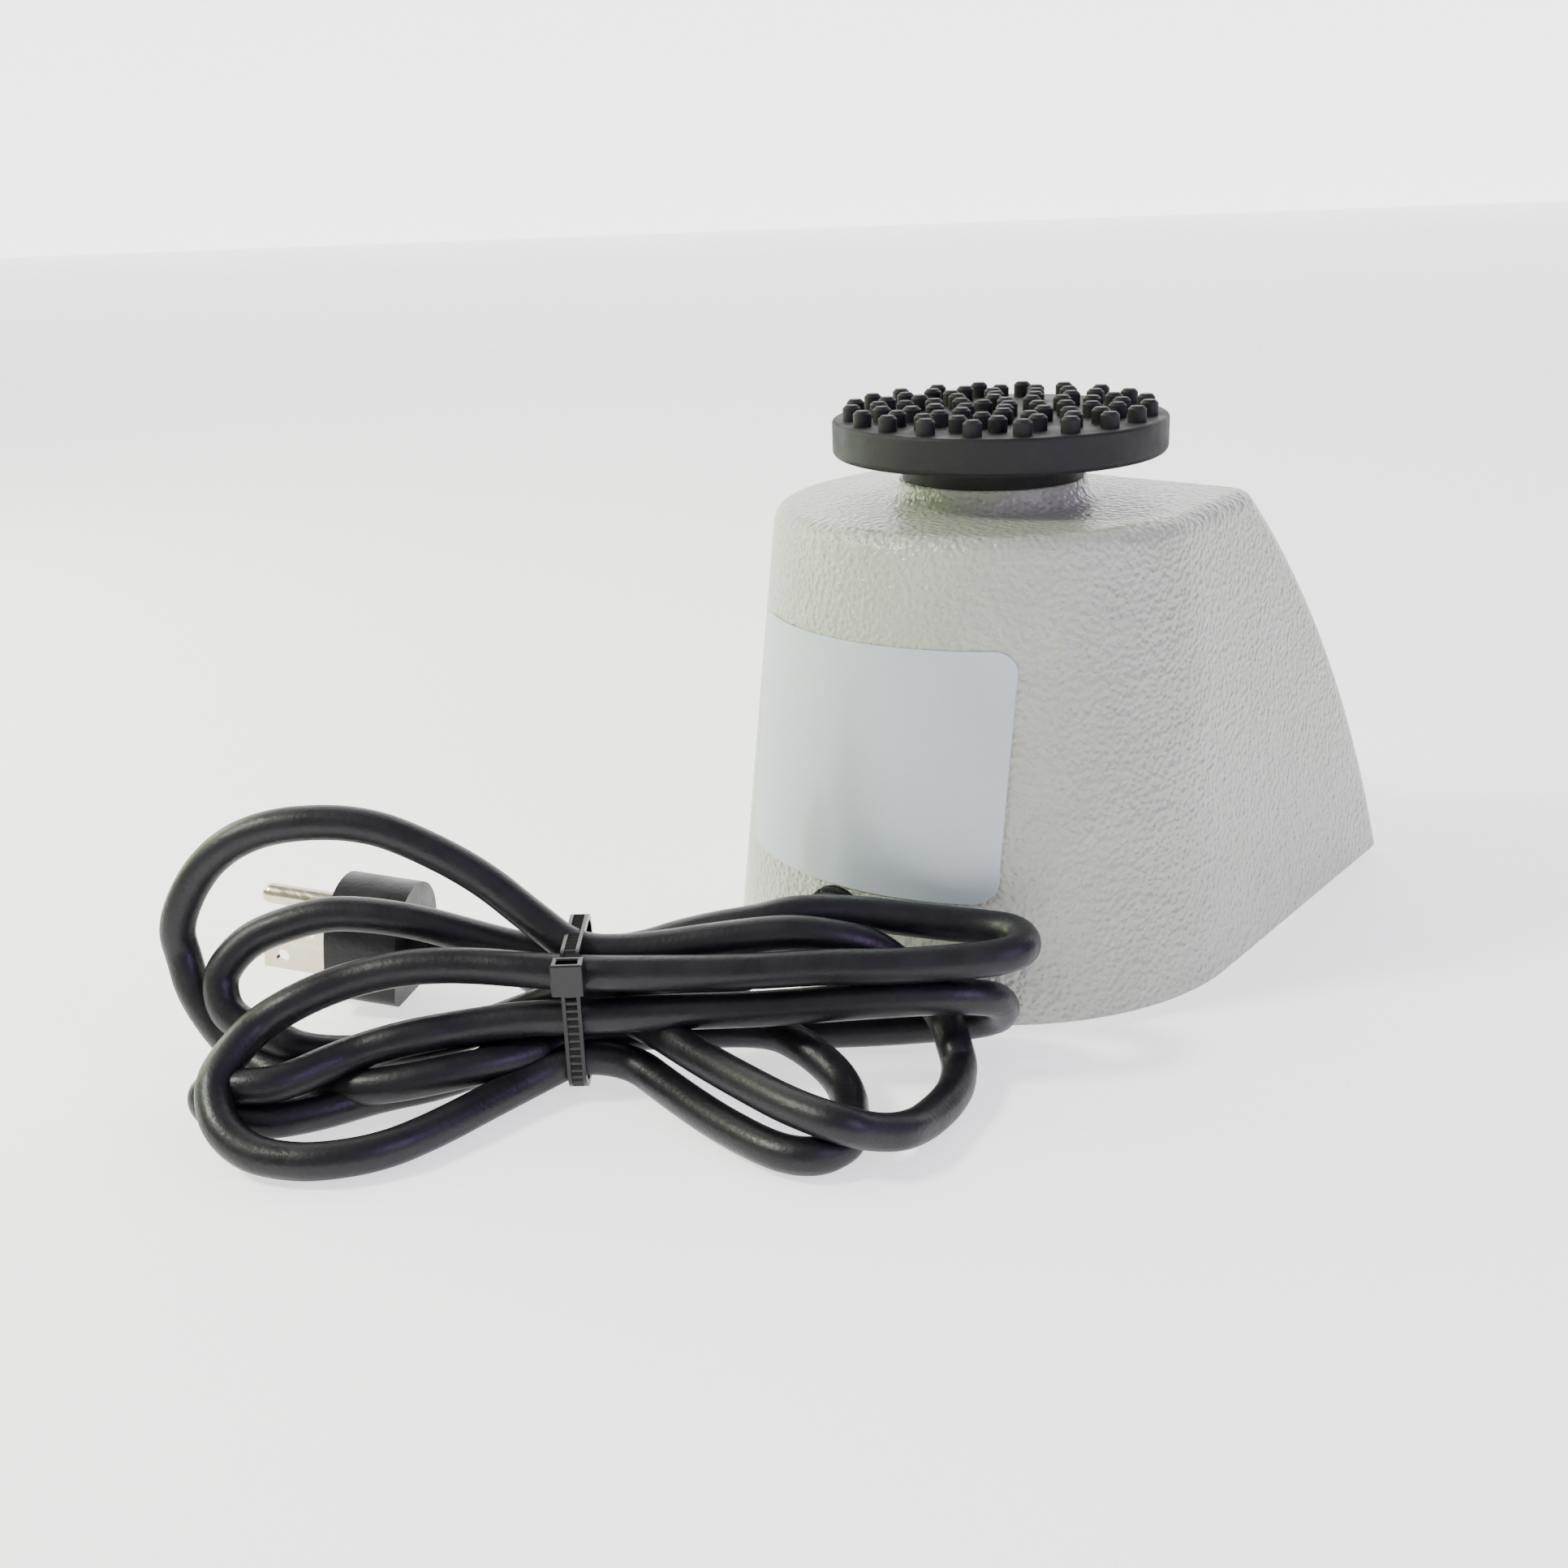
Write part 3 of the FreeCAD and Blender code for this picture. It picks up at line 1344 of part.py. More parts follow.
# ---------------------------------------------------------------- touch control
def touch_guide():
    body = tube("cup_radius + guide_clearance + guide_wall", "cup_radius + guide_clearance", "guide_height",
                ("0", "head_y", "plate_top"))
    flange = tube("guide_flange_radius", "cup_radius + guide_clearance", "guide_flange_height",
                  ("0", "head_y", "plate_top"))
    return node("touch_guide", fuse(body, flange))


def return_spring():
    """A compression spring between the base plate and the thrust cup."""
    wire = value("spring_wire")
    turns = int(value("spring_turns"))
    bottom = value("spring_bottom")
    rise = value("cup_bottom") - value("spring_seat_clearance") - bottom - 2 * wire
    count = turns * SPRING_STEPS
    sections = []
    for step in range(count + 1):
        turn = 2 * math.pi * step / SPRING_STEPS
        outward = Vector(math.cos(turn), math.sin(turn), 0)
        middle = outward * value("spring_radius") + Vector(0, 0, rise * step / count)
        angles = [2 * math.pi * side / WIRE_SIDES for side in range(WIRE_SIDES)]
        points = [middle + outward * (wire * math.cos(a)) + Vector(0, 0,
                                                                   wire * math.sin(a)) for a in angles]
        sections.append(Part.makePolygon(points + points[:1]))
    coil = Part.makeLoft(sections, True, True)
    place = Placement(Vector(0, value("head_y"), bottom + wire), Rotation())
    return node("return_spring", coded("ReturnSpring", coil, place))


def thrust_cup():
    """The cup that carries the end of the shaft and slides in the guide."""
    body = cylinder("cup_radius", "cup_height - arm_thickness", ("0", "head_y", "cup_bottom"))
    neck = cylinder("cup_neck_radius", "cup_height", ("0", "head_y", "cup_bottom"))
    bore = cylinder("shaft_radius + cup_grip", "cup_height", ("0", "head_y", "shaft_end - pin_clearance"))
    return node("thrust_cup", cut(fuse(body, neck), bore))


def touch_arm():
    """The arm on the cup that presses the touch switch."""
    ring = cylinder("cup_radius + cup_ring", "arm_thickness", ("0", "head_y", "arm_bottom"))
    arm = block("arm_width", "arm_length", "arm_thickness", ("0", "head_y - arm_length / 2", "arm_bottom"))
    hole = cylinder("cup_neck_radius", "3 * arm_thickness", ("0", "head_y", "arm_bottom - arm_thickness"))
    return node("touch_arm", cut(fuse(ring, arm), hole))


def touch_switch():
    body = block("touch_switch_length", "touch_switch_width", "touch_switch_height",
                 ("0", "touch_switch_y", "touch_switch_bottom"))
    bore = cylinder("plunger_radius + plunger_clearance", "touch_switch_height",
                    ("0", "touch_switch_y", "plunger_top - plunger_length - touch_travel - plunger_room"))
    rivets = [
        cylinder("rivet_radius", "rivet_height", (
            f"{side} * rivet_spread", "touch_switch_y - touch_switch_width / 2 - rivet_height",
            "touch_switch_bottom + rivet_level",
        ), ALONG_Y)
        for side in (-1, 1)
    ]
    node("touch_switch_body", cut(fuse(body, *rivets), bore))
    foot = block("touch_switch_length + 2 * bracket_margin", "bracket_foot",
                 "touch_switch_bottom - plate_top",
                 ("0", "touch_switch_y - bracket_margin", "plate_top"))
    wall = block("touch_switch_length", "bracket_thickness", "bracket_height",
                 ("0", "touch_switch_y + touch_switch_width / 2 + bracket_thickness / 2",
                  "touch_switch_bottom"))
    node("touch_switch_bracket", fuse(foot, wall))
    plunger = cylinder("plunger_radius", "plunger_length",
                       ("0", "touch_switch_y", "plunger_top - plunger_length"))
    node("touch_plunger", group([plunger]))


# ---------------------------------------------------------------- electrics
def board_corners():
    return [
        (f"{x} * (board_width / 2 - standoff_inset)",
         f"board_y + {y} * (board_length / 2 - standoff_inset)")
        for x, y in corners()
    ]


def control_board():
    board = block("board_width", "board_length", "board_thickness", ("0", "board_y", "board_bottom"))
    holes = [
        cylinder("board_screw_radius", "3 * board_thickness", (x, y, "board_bottom - board_thickness"))
        for x, y in board_corners()
    ]
    node("control_board", cut(board, *holes))
    node("board_standoffs", group([
        cut(cylinder("standoff_radius", "board_standoff", (x, y, "plate_top")),
            cylinder("board_screw_radius", "board_standoff - standoff_floor",
                     (x, y, "plate_top + standoff_floor")))
        for x, y in board_corners()
    ]))
    node("board_screws", group([
        pan_screw("board_screw_radius", "board_screw_length", "board_screw_head", "board_screw_height",
                  (x, y, "board_top"))
        for x, y in board_corners()
    ]))


def board_pieces():
    film = rounded_block("capacitor_width", "capacitor_depth", "capacitor_height", "capacitor_corner",
                         ("capacitor_x", "board_y + capacitor_back", "board_top"))
    node("film_capacitor", film)
    triac = block("triac_width", "triac_thickness", "triac_height",
                  ("triac_x", "board_y + sink_depth", "board_top"))
    node("speed_triac", group([triac]))
    sink_y = "board_y + sink_depth + triac_thickness / 2"
    plate = block("sink_width", "sink_base", "sink_height",
                  ("triac_x", f"{sink_y} + sink_base / 2", "board_top"))
    fins = []
    count = int(value("sink_fins"))
    for index in range(count):
        step = index / (count - 1) - 0.5
        fins.append(block("sink_fin", "sink_depth", "sink_height", (
            f"triac_x + {step} * (sink_width - sink_fin)", f"{sink_y} + sink_depth / 2", "board_top",
        )))
    node("triac_heatsink", fuse(plate, *fins))
    choke = doc.addObject("Part::Torus", "Choke")
    bind(choke, {"Radius1": "choke_radius - choke_height / 2", "Radius2": "choke_height / 2"})
    put(choke, ("capacitor_x", "board_y - choke_front", "board_top + choke_height / 2"))
    node("filter_choke", choke)


def terminals():
    body = block("terminal_width", "terminal_depth", "terminal_height",
                 ("0 - terminal_spread", "terminal_y", "plate_top"))
    wells = [
        cylinder("terminal_screw_radius", "terminal_height / 2",
                 (f"0 - terminal_spread + {step} * terminal_pitch", "terminal_y",
                  "plate_top + terminal_height / 2"))
        for step in (-1, 0, 1)
    ]
    node("terminal_block", cut(body, *wells))
    node("terminal_screws", group([
        pan_screw("terminal_shank_radius", "terminal_shank", "terminal_screw_radius", "terminal_head", (
            f"0 - terminal_spread + {step} * terminal_pitch", "terminal_y",
            "plate_top + terminal_height / 2 + terminal_shank",
        )) for step in (-1, 0, 1)
    ]))
    stud = pan_screw("earth_screw_radius", "plate_thickness + earth_lug", "earth_head_radius", "earth_head",
                     ("earth_spread", "earth_y", "plate_top + earth_lug"))
    node("earth_screw", stud)


# ---------------------------------------------------------------- rear label
def rear_label():
    """A thin plate that follows the drafted rear wall."""
    low = "label_low - label_margin"
    high = "label_high + label_margin"
    outside = "0 - label_bond - label_thickness"
    skin = cut(
        cone(offset_radius(outside, low), offset_radius(outside, high), f"{high} - ({low})",
             ("0", "head_y", low)),
        cone(offset_radius("0 - label_bond", low), offset_radius("0 - label_bond", high),
             f"{high} - ({low})",
             ("0", "head_y", low)),
    )
    outline = group([rounded_block(
        "2 * rear_radius * sin(label_angle)", "label_high - label_low", "2 * rear_radius", "label_corner"
    )])
    put(outline, ("0", "head_y", "(label_low + label_high) / 2"), ALONG_Y)
    return node("rear_label", common(skin, outline))


# ---------------------------------------------------------------- mains cord
def strain_relief():
    """A flanged boot in the rear wall that tapers along the cord."""
    seat = cylinder("relief_flange_radius", "relief_flange", ("0", "relief_seat_y", "cord_level"), ALONG_Y)
    neck = cylinder("relief_neck_radius", "wall + relief_grip",
                    ("0", "relief_seat_y - wall - relief_grip", "cord_level"),
                    ALONG_Y)
    grip = cylinder("relief_flange_radius", "relief_grip", ("0", "relief_grip_y", "cord_level"), ALONG_Y)
    shoulder = "relief_wall_y + relief_shoulder"
    root = cylinder("relief_radius", f"{shoulder} - relief_seat_y", ("0", "relief_seat_y", "cord_level"),
                    ALONG_Y)
    taper = cone("relief_radius", "relief_tip_radius", "relief_length - relief_shoulder",
                 ("0", shoulder, "cord_level"),
                 ALONG_Y)
    socket = cylinder("cord_radius", "cord_socket", ("0", "relief_tip_y - cord_socket", "cord_level"),
                      ALONG_Y)
    return node("strain_relief", cut(fuse(seat, neck, grip, root, taper), socket))


def cord_lead():
    """The first straight run of the cord, from the strain relief into the hank."""
    run = cylinder("cord_radius", "lead_end_y - relief_tip_y + cord_socket",
                   ("0", "relief_tip_y - cord_socket", "cord_level"),
                   ALONG_Y)
    return node("cord_lead", group([run]))


# The hank: a closed outline of its coils, given across the tie. Each station has its distance
# along the hank and five corners of (out, up): back foot, front foot, front shoulder, front top
# and back top. "Out" is away from the mixer.
HANK_STATIONS = [
    (-96, [(-5, 10), (10, 10), (10, 20), (10, 32), (-5, 32)]),
    (-80, [(-12, 0), (30, 0), (30, 8), (13, 32), (-13, 32)]),
    (-55, [(-14, 0), (47, 0), (50, 16), (13, 35), (-14, 35)]),
    (-30, [(-13, 0), (34, 0), (34, 16), (14, 35), (-13, 35)]),
    (-8, [(-12, 1), (14, 1), (14, 12), (12.5, 31.5), (-12, 31.5)]),
    (-2.5, [(-11.8, 3.2), (11.8, 3.2), (11.8, 15), (11.8, 31.2), (-11.8, 31.2)]),
    (2.5, [(-11.8, 3.2), (11.8, 3.2), (11.8, 15), (11.8, 31.2), (-11.8, 31.2)]),
    (10, [(-12, 0.5), (15, 0.5), (15, 12), (13, 36), (-12, 38)]),
    (30, [(-13, 0), (38, 0), (38, 9), (12, 50), (-13, 54)]),
    (52, [(-13, 0), (45, 0), (45, 9), (8, 56), (-13, 60)]),
    (72, [(-13, 0), (38, 0), (38, 16), (6, 50), (-13, 56)]),
    (90, [(-13, 14), (0, 14), (0, 24), (-2, 44), (-13, 44)]),
]

# The run from the tie to the plug, in the same coordinates: along, out, up.
PLUG_ROUTE = [(7.0, -17.0, 9.0), (14.0, -28.0, 10.0), (24.4, -34.0, 11.9)]


def hank_place():
    """The frame of the hank: x points out from the mixer, y up and z along the hank."""
    turn = math.radians(value("hank_turn"))
    out = Vector(-math.sin(turn), math.cos(turn), 0)
    along = Vector(math.cos(turn), math.sin(turn), 0)
    origin = Vector(value("hank_x"), value("hank_y"), 0)
    return Placement(origin, Rotation(out, Vector(0, 0, 1), along, "ZXY"))


def hank_point(along, out, up):
    return hank_place().multVec(Vector(out, up, along))


def cord_hank():
    sections = []
    for along, corner_list in HANK_STATIONS:
        points = [Vector(out, up, along) for out, up in corner_list]
        sections.append(Part.makePolygon(points + [points[0]]))
    outline = Part.makeLoft(sections, True, True)
    solid = coded("HankOutline", outline, hank_place())
    axis = ("0", "head_y", "0 - cut_spare")
    body_room = cylinder("rear_radius + body_room", "housing_top", axis)
    channel = cylinder("relief_flange_radius + relief_room", "lead_end_y - relief_seat_y",
                       ("0", "relief_seat_y", "cord_level"),
                       ALONG_Y)
    return node("cord_hank", cut(solid, body_room, channel))


def swept(points, radius):
    """A round run of straight lengths with a tangent arc at each turn."""
    edges = []
    start = points[0]
    for before, corner, after in zip(points, points[1:], points[2:]):
        into = (corner - before).normalize()
        away = (after - corner).normalize()
        turn = math.acos(max(-1, min(1, into.dot(away))))
        reach = BEND_SHARE * min((corner - before).Length, (after - corner).Length)
        bend = reach / math.tan(turn / 2)
        print("cord bend: turn %.0f degrees, radius %.1f mm" % (math.degrees(turn), bend))
        first = corner - into * reach
        last = corner + away * reach
        centre_line = (away - into).normalize()
        middle = corner + centre_line * (bend / math.cos(turn / 2) - bend)
        edges.append(Part.LineSegment(start, first).toShape())
        edges.append(Part.Arc(first, middle, last).toShape())
        start = last
    edges.append(Part.LineSegment(start, points[-1]).toShape())
    path = Part.Wire(edges)
    heading = (points[1] - points[0]).normalize()
    section = Part.Wire(Part.makeCircle(radius, points[0], heading))
    solid = path.makePipeShell([section], True, True)
    straight = math.pi * radius ** 2 * path.Length
    print("cord run: %.1f mm, volume %.0f of %.0f mm3" % (path.Length, solid.Volume, straight))
    return solid


def plug_frame():
    """The frame of the plug: z points along its pins, x across them and y up."""
    across = Vector(value("plug_dx"), value("plug_dy"), value("plug_dz"))
    place = hank_place()
    forward = place.Rotation.multVec(Vector(across.x, across.y, across.z)).normalize()
    up = Vector(0, 0, 1)
    side = up.cross(forward).normalize()
    upright = forward.cross(side)
    return Placement(hank_point(*PLUG_ROUTE[-1]), Rotation(side, upright, forward, "ZXY"))


def cord_plug_lead():
    points = [hank_point(*point) for point in PLUG_ROUTE]
    heading = plug_frame().Rotation.multVec(Vector(0, 0, 1))
    points.append(points[-1] + heading * value("cord_socket"))
    return node("cord_plug_lead", coded("PlugLead", swept(points, value("cord_radius"))))


def cable_tie():
    """A closed strap round the waist of the hank with a ratchet head on its top front corner."""
    outer = rounded_block("tie_depth", "tie_height", "tie_width", "tie_corner")
    inner = rounded_block("tie_depth - 2 * tie_thickness", "tie_height - 2 * tie_thickness",
                          "2 * tie_width",
                          "tie_corner - tie_thickness", ("0", "0", "0 - tie_width / 2"))
    head = block("tie_head_depth", "tie_head_height", "tie_head_width",
                 ("(tie_depth + tie_head_depth) / 2 - tie_thickness / 2",
                  "tie_height / 2 - tie_head_height",
                  "(tie_width - tie_head_width) / 2"))
    tie = group([fuse(cut(outer, inner), head)])
    tie.Placement = hank_place()
    bind(tie, {
        "Placement.Base.x": "hank_x - cos(hank_turn * 1 deg) * tie_width / 2",
        "Placement.Base.y": "hank_y - sin(hank_turn * 1 deg) * tie_width / 2",
        "Placement.Base.z": "tie_rise",
    })
    return node("cable_tie", tie)


def blades():
    """Two flat blades with a hole near each tip, in the frame of the plug."""
    low = "grip_length + plug_length - blade_root"
    pieces = []
    for side in (-1, 1):
        x = f"{side} * blade_spacing / 2"
        blade = block("blade_thickness", "blade_width", "blade_length + blade_root",
                      (x, "0 - blade_drop", low))
        hole = cylinder(
            "blade_hole_radius", "4 * blade_thickness",
            (f"{x} - 2 * blade_thickness", "0 - blade_drop",
             f"{low} + blade_length + blade_root - blade_hole_inset"),
            ALONG_X,
        )
        pieces.append(cut(blade, hole))
    return group(pieces)


def earth_pin():
    """A round pin with a domed end."""
    low = "grip_length + plug_length - blade_root"
    length = "earth_pin_length + blade_root - earth_pin_radius"
    pin = cylinder("earth_pin_radius", length, ("0", "earth_pin_rise", low))
    dome = doc.addObject("Part::Sphere", "Dome")
    bind(dome, {"Radius": "earth_pin_radius"})
    put(dome, ("0", "earth_pin_rise", f"{low} + {length}"))
    return fuse(pin, dome)


def plug_head():
    """The head of the plug: flat on the side of the blades and round on the side of the earth pin."""
    flat = block("plug_width", "plug_height - plug_width / 2", "plug_length",
                 ("0", "plug_top - (plug_height + plug_width / 2) / 2", "grip_length"))
    crown = cylinder("plug_width / 2", "plug_length", ("0", "plug_top - plug_width / 2", "grip_length"))
    whole = fuse(flat, crown)
    head = doc.addObject("Part::Fillet", "PlugHead")
    head.Base = whole
    doc.recompute()
    low = measure("plug_top - plug_height")
    radius = value("plug_corner")
    edges = []
    for number, edge in enumerate(whole.Shape.Edges, start=1):
        box = edge.BoundBox
        if box.ZLength > 1 and box.YMax < low + 1:
            edges.append((number, radius, radius))
    head.Edges = edges
    return head


def plug():
    """The moulded plug with its pins."""
    grip = cone("grip_end_radius", "grip_width / 2", "grip_length + cut_spare")
    grooves = []
    for share in (0.25, 0.45, 0.65):
        radius = f"grip_end_radius + {share} * (grip_width / 2 - grip_end_radius) - grip_rib_depth"
        grooves.append(tube("grip_width", radius, "grip_rib_width", ("0", "0", f"{share} * grip_length")))
    socket = cylinder("cord_radius", "cord_socket")
    body = cut(fuse(cut(grip, *grooves), plug_head()), blades(), earth_pin(), socket)
    place = plug_frame()
    for label, item in (
        ("plug_body", body), ("plug_blades", blades()), ("plug_earth_pin", group([earth_pin()])),
    ):
        item.Placement = place
        node(label, item)


# ---------------------------------------------------------------- the whole mixer
sheet = make_sheet()
places_of = make_places()

housing()
base_plate()
base_screws()
rubber_feet()
panel_overlay()
rocker_switch_body()
rocker_paddle()
potentiometer()
potentiometer_nut()
dial_shaft()
knob()
knob_pointer()
end_frame("upper_motor_frame", "frame_bottom", "stator_top", "upper_leg_length",
          "upper_boss_top - bush_length",
          "bush_length")
end_frame("lower_motor_frame", "lower_frame_bottom", "lower_frame_top", "lower_leg_length",
          "lower_boss_bottom",
          "bush_length")
bushes()
stator_core()
field_coils()
motor_bolts()
motor_isolators()
motor_shaft()
rotor_core()
cooling_fan()
crank()
crank_set_screw()
counterweight()
head_bearing()
bearing_screw()
head_plate()
rubber_platform()
collar_seal()
touch_guide()
return_spring()
thrust_cup()
touch_arm()
touch_switch()
control_board()
board_pieces()
terminals()
rear_label()
strain_relief()
cord_lead()
cord_hank()
cord_plug_lead()
cable_tie()
plug()
doc.recompute()

for item in doc.Objects:
    for state in ("Invalid", "Error"):
        if state in item.State:
            raise RuntimeError(f"{item.Name} ({item.Label}) is {item.State}")
os.makedirs("parts", exist_ok=True)
for label, item in nodes.items():
    shape = item.Shape
    if shape.isNull() or not shape.isValid() or shape.Volume <= 0:
        raise RuntimeError(f"{label} has no valid shape")
    shape.exportStep(f"parts/{label}.step")
    box = shape.optimalBoundingBox(False)
    print("%-22s %2d solids %9.1f mm3  x %6.1f %6.1f  y %6.1f %6.1f  z %6.1f %6.1f" % (
        label, len(shape.Solids), shape.Volume, box.XMin, box.XMax, box.YMin, box.YMax, box.ZMin, box.ZMax,
    ))
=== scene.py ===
"""Visual model of the vortex mixer: materials, the looped mains cord and fine surface detail.

Lengths are metres in the row frame. Helpers that work in millimetres say so.
"""
import json
import math

import bpy
from mathutils import Matrix, Vector


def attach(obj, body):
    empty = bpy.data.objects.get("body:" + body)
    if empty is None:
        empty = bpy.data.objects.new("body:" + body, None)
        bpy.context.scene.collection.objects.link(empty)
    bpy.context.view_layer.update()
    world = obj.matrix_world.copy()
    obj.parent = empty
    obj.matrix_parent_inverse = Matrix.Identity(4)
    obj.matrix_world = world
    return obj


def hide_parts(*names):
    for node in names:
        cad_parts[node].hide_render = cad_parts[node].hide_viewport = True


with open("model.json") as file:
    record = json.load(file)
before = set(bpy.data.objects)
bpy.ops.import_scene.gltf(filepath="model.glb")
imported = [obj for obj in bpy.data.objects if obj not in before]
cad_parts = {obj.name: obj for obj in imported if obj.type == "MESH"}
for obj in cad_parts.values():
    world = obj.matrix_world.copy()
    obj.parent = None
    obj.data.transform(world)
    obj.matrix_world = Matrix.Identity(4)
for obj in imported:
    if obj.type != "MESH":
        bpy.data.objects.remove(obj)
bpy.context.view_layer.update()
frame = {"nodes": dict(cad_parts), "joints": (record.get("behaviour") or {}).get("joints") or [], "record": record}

MM = 0.001

# ---------------------------------------------------------------- camera
CAMERA_PLACE = Vector((-0.2361, 0.3611, 0.1798))
CAMERA_FORWARD = Vector((0.62937, -0.70503, -0.32684))
CAMERA_UP = Vector((0.19033, -0.26793, 0.94445))
LENS_MM = 41.19
SENSOR_MM = 36.0
NEAREST_SEEN = 0.01
FURTHEST_SEEN = 10.0


def make_camera():
    """A camera behind and to one side of the mixer, a little above it."""
    data = bpy.data.cameras.new("camera")
    data.lens = LENS_MM
    data.sensor_width = SENSOR_MM
    data.clip_start = NEAREST_SEEN
    data.clip_end = FURTHEST_SEEN
    camera = bpy.data.objects.new("camera", data)
    bpy.context.collection.objects.link(camera)
    back = -CAMERA_FORWARD.normalized()
    right = CAMERA_UP.cross(back).normalized()
    up = back.cross(right)
    turn = Matrix((right, up, back)).transposed()
    camera.matrix_world = Matrix.Translation(CAMERA_PLACE) @ turn.to_4x4()
    bpy.context.scene.camera = camera


make_camera()


# ---------------------------------------------------------------- materials
def material(name, colour, roughness=0.5, metallic=0.0, coat=0.0, coat_roughness=0.1, specular=0.5):
    """A principled material with plain values on its sockets."""
    mat = bpy.data.materials.new(name)
    mat.use_nodes = True
    bsdf = mat.node_tree.nodes["Principled BSDF"]
    bsdf.inputs["Base Color"].default_value = (*colour, 1.0)
    bsdf.inputs["Roughness"].default_value = roughness
    bsdf.inputs["Metallic"].default_value = metallic
    bsdf.inputs["Coat Weight"].default_value = coat
    bsdf.inputs["Coat Roughness"].default_value = coat_roughness
    bsdf.inputs["Specular IOR Level"].default_value = specular
    return mat


def add(mat, kind, **values):
    """A shader node with its inputs or properties set by name."""
    item = mat.node_tree.nodes.new(kind)
    for name, value in values.items():
        label = name.replace("_", " ").title()
        if label in item.inputs:
            item.inputs[label].default_value = value
        else:
            setattr(item, name, value)
    return item


def link(mat, source, output, target, slot):
    mat.node_tree.links.new(source.outputs[output], target.inputs[slot])


def coordinates(mat):
    return add(mat, "ShaderNodeTexCoord")


def noise(mat, scale, detail=2.0, roughness=0.5, stretch=(1.0, 1.0, 1.0)):
    """Noise in the row frame, at a scale in features per metre."""
    place = add(mat, "ShaderNodeMapping")
    place.inputs["Scale"].default_value = stretch
    link(mat, coordinates(mat), "Object", place, "Vector")
    texture = add(mat, "ShaderNodeTexNoise", scale=scale, detail=detail, roughness=roughness)
    link(mat, place, "Vector", texture, "Vector")
    return texture


def bumps(mat, layers):
    """Stacks bump layers: (texture, output, distance in metres, strength)."""
    bsdf = mat.node_tree.nodes["Principled BSDF"]
    before = None
    for texture, output, distance, strength in layers:
        bump = add(mat, "ShaderNodeBump")
        bump.inputs["Distance"].default_value = distance
        bump.inputs["Strength"].default_value = strength
        link(mat, texture, output, bump, "Height")
        if before:
            link(mat, before, "Normal", bump, "Normal")
        before = bump
    link(mat, before, "Normal", bsdf, "Normal")
    link(mat, before, "Normal", bsdf, "Coat Normal")


def vary(mat, texture, socket, low, high, start=0.3, end=0.7):
    """Drives a number of the material from low to high with a texture."""
    bsdf = mat.node_tree.nodes["Principled BSDF"]
    spread = add(mat, "ShaderNodeMapRange")
    spread.inputs["From Min"].default_value = start
    spread.inputs["From Max"].default_value = end
    spread.inputs["To Min"].default_value = low
    spread.inputs["To Max"].default_value = high
    link(mat, texture, "Fac", spread, "Value")
    link(mat, spread, "Result", bsdf, socket)


def tint(mat, texture, first, second, start=0.35, end=0.65):
    """Drives the base colour between two colours with a texture."""
    bsdf = mat.node_tree.nodes["Principled BSDF"]
    spread = add(mat, "ShaderNodeMapRange")
    spread.inputs["From Min"].default_value = start
    spread.inputs["From Max"].default_value = end
    link(mat, texture, "Fac", spread, "Value")
    mix = add(mat, "ShaderNodeMix", data_type="RGBA")
    ends = {"A": first, "B": second}
    for socket in mix.inputs:
        if socket.type == "RGBA":
            socket.default_value = (*ends[socket.name], 1.0)
    link(mat, spread, "Result", mix, "Factor")
    colour = next(socket for socket in mix.outputs if socket.type == "RGBA")
    mat.node_tree.links.new(colour, bsdf.inputs["Base Color"])


def powder_coat():
    """Cream paint with a coarse orange peel and a thin gloss."""
    mat = material("powder_coat", (0.34, 0.36, 0.285), roughness=0.36, coat=0.45, coat_roughness=0.14)
    cells = add(mat, "ShaderNodeTexVoronoi", feature="SMOOTH_F1", scale=760.0, smoothness=1.0)
    link(mat, coordinates(mat), "Object", cells, "Vector")
    fine = noise(mat, 1100.0, detail=2.0)
    broad = noise(mat, 60.0, detail=3.0)
    bumps(mat, [
        (broad, "Fac", 0.0005, 0.15),
        (cells, "Distance", 0.0009, 0.7),
        (fine, "Fac", 0.0005, 0.6),
    ])
    tint(mat, broad, (0.325, 0.345, 0.27), (0.355, 0.375, 0.30))
    vary(mat, fine, "Roughness", 0.30, 0.44)
    return mat


def rubber(name, level, roughness):
    """Dull black rubber with a fine mould texture and paler, dusty patches."""
    mat = material(name, (level, level, level), roughness=roughness, specular=0.28)
    fine = noise(mat, 2200.0, detail=3.0)
    broad = noise(mat, 140.0, detail=4.0)
    bumps(mat, [(broad, "Fac", 0.0004, 0.15), (fine, "Fac", 0.00008, 0.5)])
    worn = (level * 0.75, level * 0.78, level * 0.78)
    dusty = (level * 1.5, level * 1.5, level * 1.6)
    tint(mat, broad, worn, dusty)
    vary(mat, broad, "Roughness", roughness - 0.1, roughness + 0.1)
    return mat


def dimpled_rubber():
    """The rubber of the strain relief, with a grid of small moulded pits."""
    mat = rubber("dimpled_rubber", 0.006, 0.5)
    bsdf = mat.node_tree.nodes["Principled BSDF"]
    pits = add(mat, "ShaderNodeTexVoronoi", feature="F1", scale=520.0)
    pits.inputs["Randomness"].default_value = 0.15
    link(mat, coordinates(mat), "Object", pits, "Vector")
    edge = add(mat, "ShaderNodeMapRange")
    edge.inputs["From Min"].default_value = 0.22
    edge.inputs["From Max"].default_value = 0.34
    link(mat, pits, "Distance", edge, "Value")
    bump = add(mat, "ShaderNodeBump")
    bump.inputs["Distance"].default_value = 0.0008
    bump.inputs["Strength"].default_value = 1.0
    link(mat, edge, "Result", bump, "Height")
    link(mat, bump, "Normal", bsdf, "Normal")
    return mat


